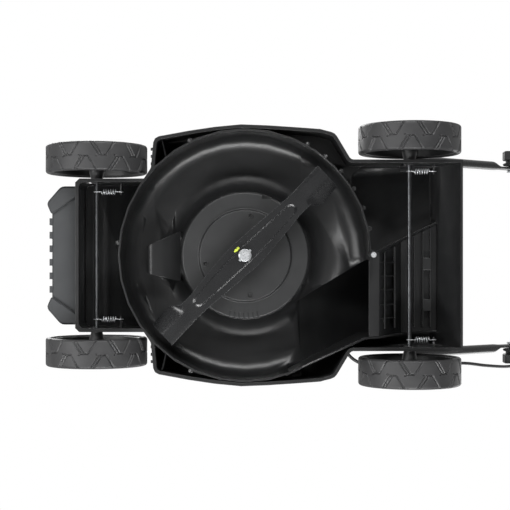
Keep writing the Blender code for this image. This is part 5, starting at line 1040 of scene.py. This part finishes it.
def dressNode(name, edgeWidth=0.0):
    mesh = nodes[name].data.copy()
    bm = bmesh.new()
    bm.from_mesh(mesh)
    bpy.data.meshes.remove(mesh)
    bmesh.ops.remove_doubles(bm, verts=bm.verts[:], dist=0.00001)
    bmesh.ops.dissolve_limit(bm, angle_limit=math.radians(0.3), verts=bm.verts[:], edges=bm.edges[:])
    piece = fromBmesh(name + "_look", bm, slotOfNode[name], 34)
    if edgeWidth:
        maker = piece.modifiers.new("edges", "BEVEL")
        maker.width = edgeWidth
        maker.segments = 2
        maker.limit_method = "ANGLE"
        maker.angle_limit = math.radians(34)
        maker.harden_normals = True
        settle(piece)
    return piece


for nodeName in sorted(nodes):
    if nodeName in replaced:
        continue
    dressed = dressNode(nodeName, softEdges.get(nodeName, 0.0))
    if nodeName == "flap_spring":
        keep(dressed, nodeName, body="rear_flap")
    else:
        keep(dressed, nodeName)
print("stage: other pieces")


# Room, light and camera

def buildWorld():
    world = bpy.data.worlds.new("studio")
    bpy.context.scene.world = world
    world.use_nodes = True
    tree = world.node_tree
    tree.nodes.clear()
    rays = addNode(tree, "ShaderNodeLightPath").outputs
    direction = addNode(tree, "ShaderNodeTexCoord").outputs["Generated"]
    upward = addNode(tree, "ShaderNodeSeparateXYZ", {0: direction})
    glow = remap(tree, upward.outputs[2], -0.80, 0.35, 0.03, 0.60)
    soft = addNode(tree, "ShaderNodeBackground", {"Color": (1, 1, 1, 1), "Strength": glow})
    white = addNode(tree, "ShaderNodeBackground", {"Color": (1, 1, 1, 1), "Strength": 1.0})
    choice = {0: rays["Is Camera Ray"], 1: soft.outputs[0], 2: white.outputs[0]}
    mix = addNode(tree, "ShaderNodeMixShader", choice)
    addNode(tree, "ShaderNodeOutputWorld", {"Surface": mix.outputs[0]})


def buildFloor():
    bm = bmesh.new()
    place = Matrix.Translation((0, 0, -0.0004))
    bmesh.ops.create_grid(bm, x_segments=1, y_segments=1, size=30, matrix=place)
    mesh = bpy.data.meshes.new("floor")
    bm.to_mesh(mesh)
    bm.free()
    material = bpy.data.materials.new("floor_pale")
    material.use_nodes = True
    tree = material.node_tree
    tree.nodes.clear()
    rays = addNode(tree, "ShaderNodeLightPath").outputs
    back = addNode(tree, "ShaderNodeNewGeometry").outputs["Backfacing"]
    front = addNode(tree, "ShaderNodeMath", {0: 1.0, 1: back}, operation="SUBTRACT").outputs[0]
    both = {0: rays["Is Camera Ray"], 1: front}
    shown = addNode(tree, "ShaderNodeMath", both, operation="MULTIPLY").outputs[0]
    clear = addNode(tree, "ShaderNodeBsdfTransparent")
    pale = addNode(tree, "ShaderNodeBsdfDiffuse", {"Color": (0.86, 0.86, 0.87, 1)})
    mix = addNode(tree, "ShaderNodeMixShader", {0: shown, 1: clear.outputs[0], 2: pale.outputs[0]})
    addNode(tree, "ShaderNodeOutputMaterial", {"Surface": mix.outputs[0]})
    mesh.materials.append(material)
    floor = bpy.data.objects.new("floor", mesh)
    bpy.context.scene.collection.objects.link(floor)


# Each lamp's name, place, size and power. The low ones give the chamber its crescents.
lamps = (("below_left", (-0.30, -1.15, -1.00), (1.9, 0.22), 24),
         ("below_right", (-0.30, 1.15, -1.00), (1.9, 0.22), 34),
         ("below_front", (-1.55, 0.0, -0.95), (0.35, 1.3), 12),
         ("below_wide", (-0.10, 0.30, -2.60), (2.2, 2.2), 5),
         ("above_key", (-1.30, -1.30, 2.30), (1.4, 1.4), 60),
         ("above_fill", (1.60, 1.40, 2.00), (1.8, 1.8), 30))
target = Vector((-0.33, 0, 0.10))


def buildLamps():
    for name, place, (width, depth), power in lamps:
        light = bpy.data.lights.new(name, "AREA")
        light.shape = "RECTANGLE"
        light.size = width
        light.size_y = depth
        light.energy = power
        lamp = bpy.data.objects.new(name, light)
        lamp.location = place
        lamp.rotation_euler = (target - Vector(place)).to_track_quat("-Z", "Y").to_euler()
        bpy.context.scene.collection.objects.link(lamp)


cameraLook = dict(sensor=36, lens=81.34, shiftY=0.029, far=100, place=(-0.3349, 0.0251, -1.95))


# Below the mower, looking straight up, as the photograph was taken.
def buildCamera():
    view = bpy.data.cameras.new("camera")
    view.sensor_width = cameraLook["sensor"]
    view.lens = cameraLook["lens"]
    view.shift_y = cameraLook["shiftY"]
    view.clip_end = cameraLook["far"]
    camera = bpy.data.objects.new("camera", view)
    camera.location = cameraLook["place"]
    camera.rotation_euler = (math.pi, 0, 0)
    bpy.context.scene.collection.objects.link(camera)
    bpy.context.scene.camera = camera


buildWorld()
buildFloor()
buildLamps()
buildCamera()
bpy.context.scene.view_settings.view_transform = "Standard"
print("stage: room and camera")
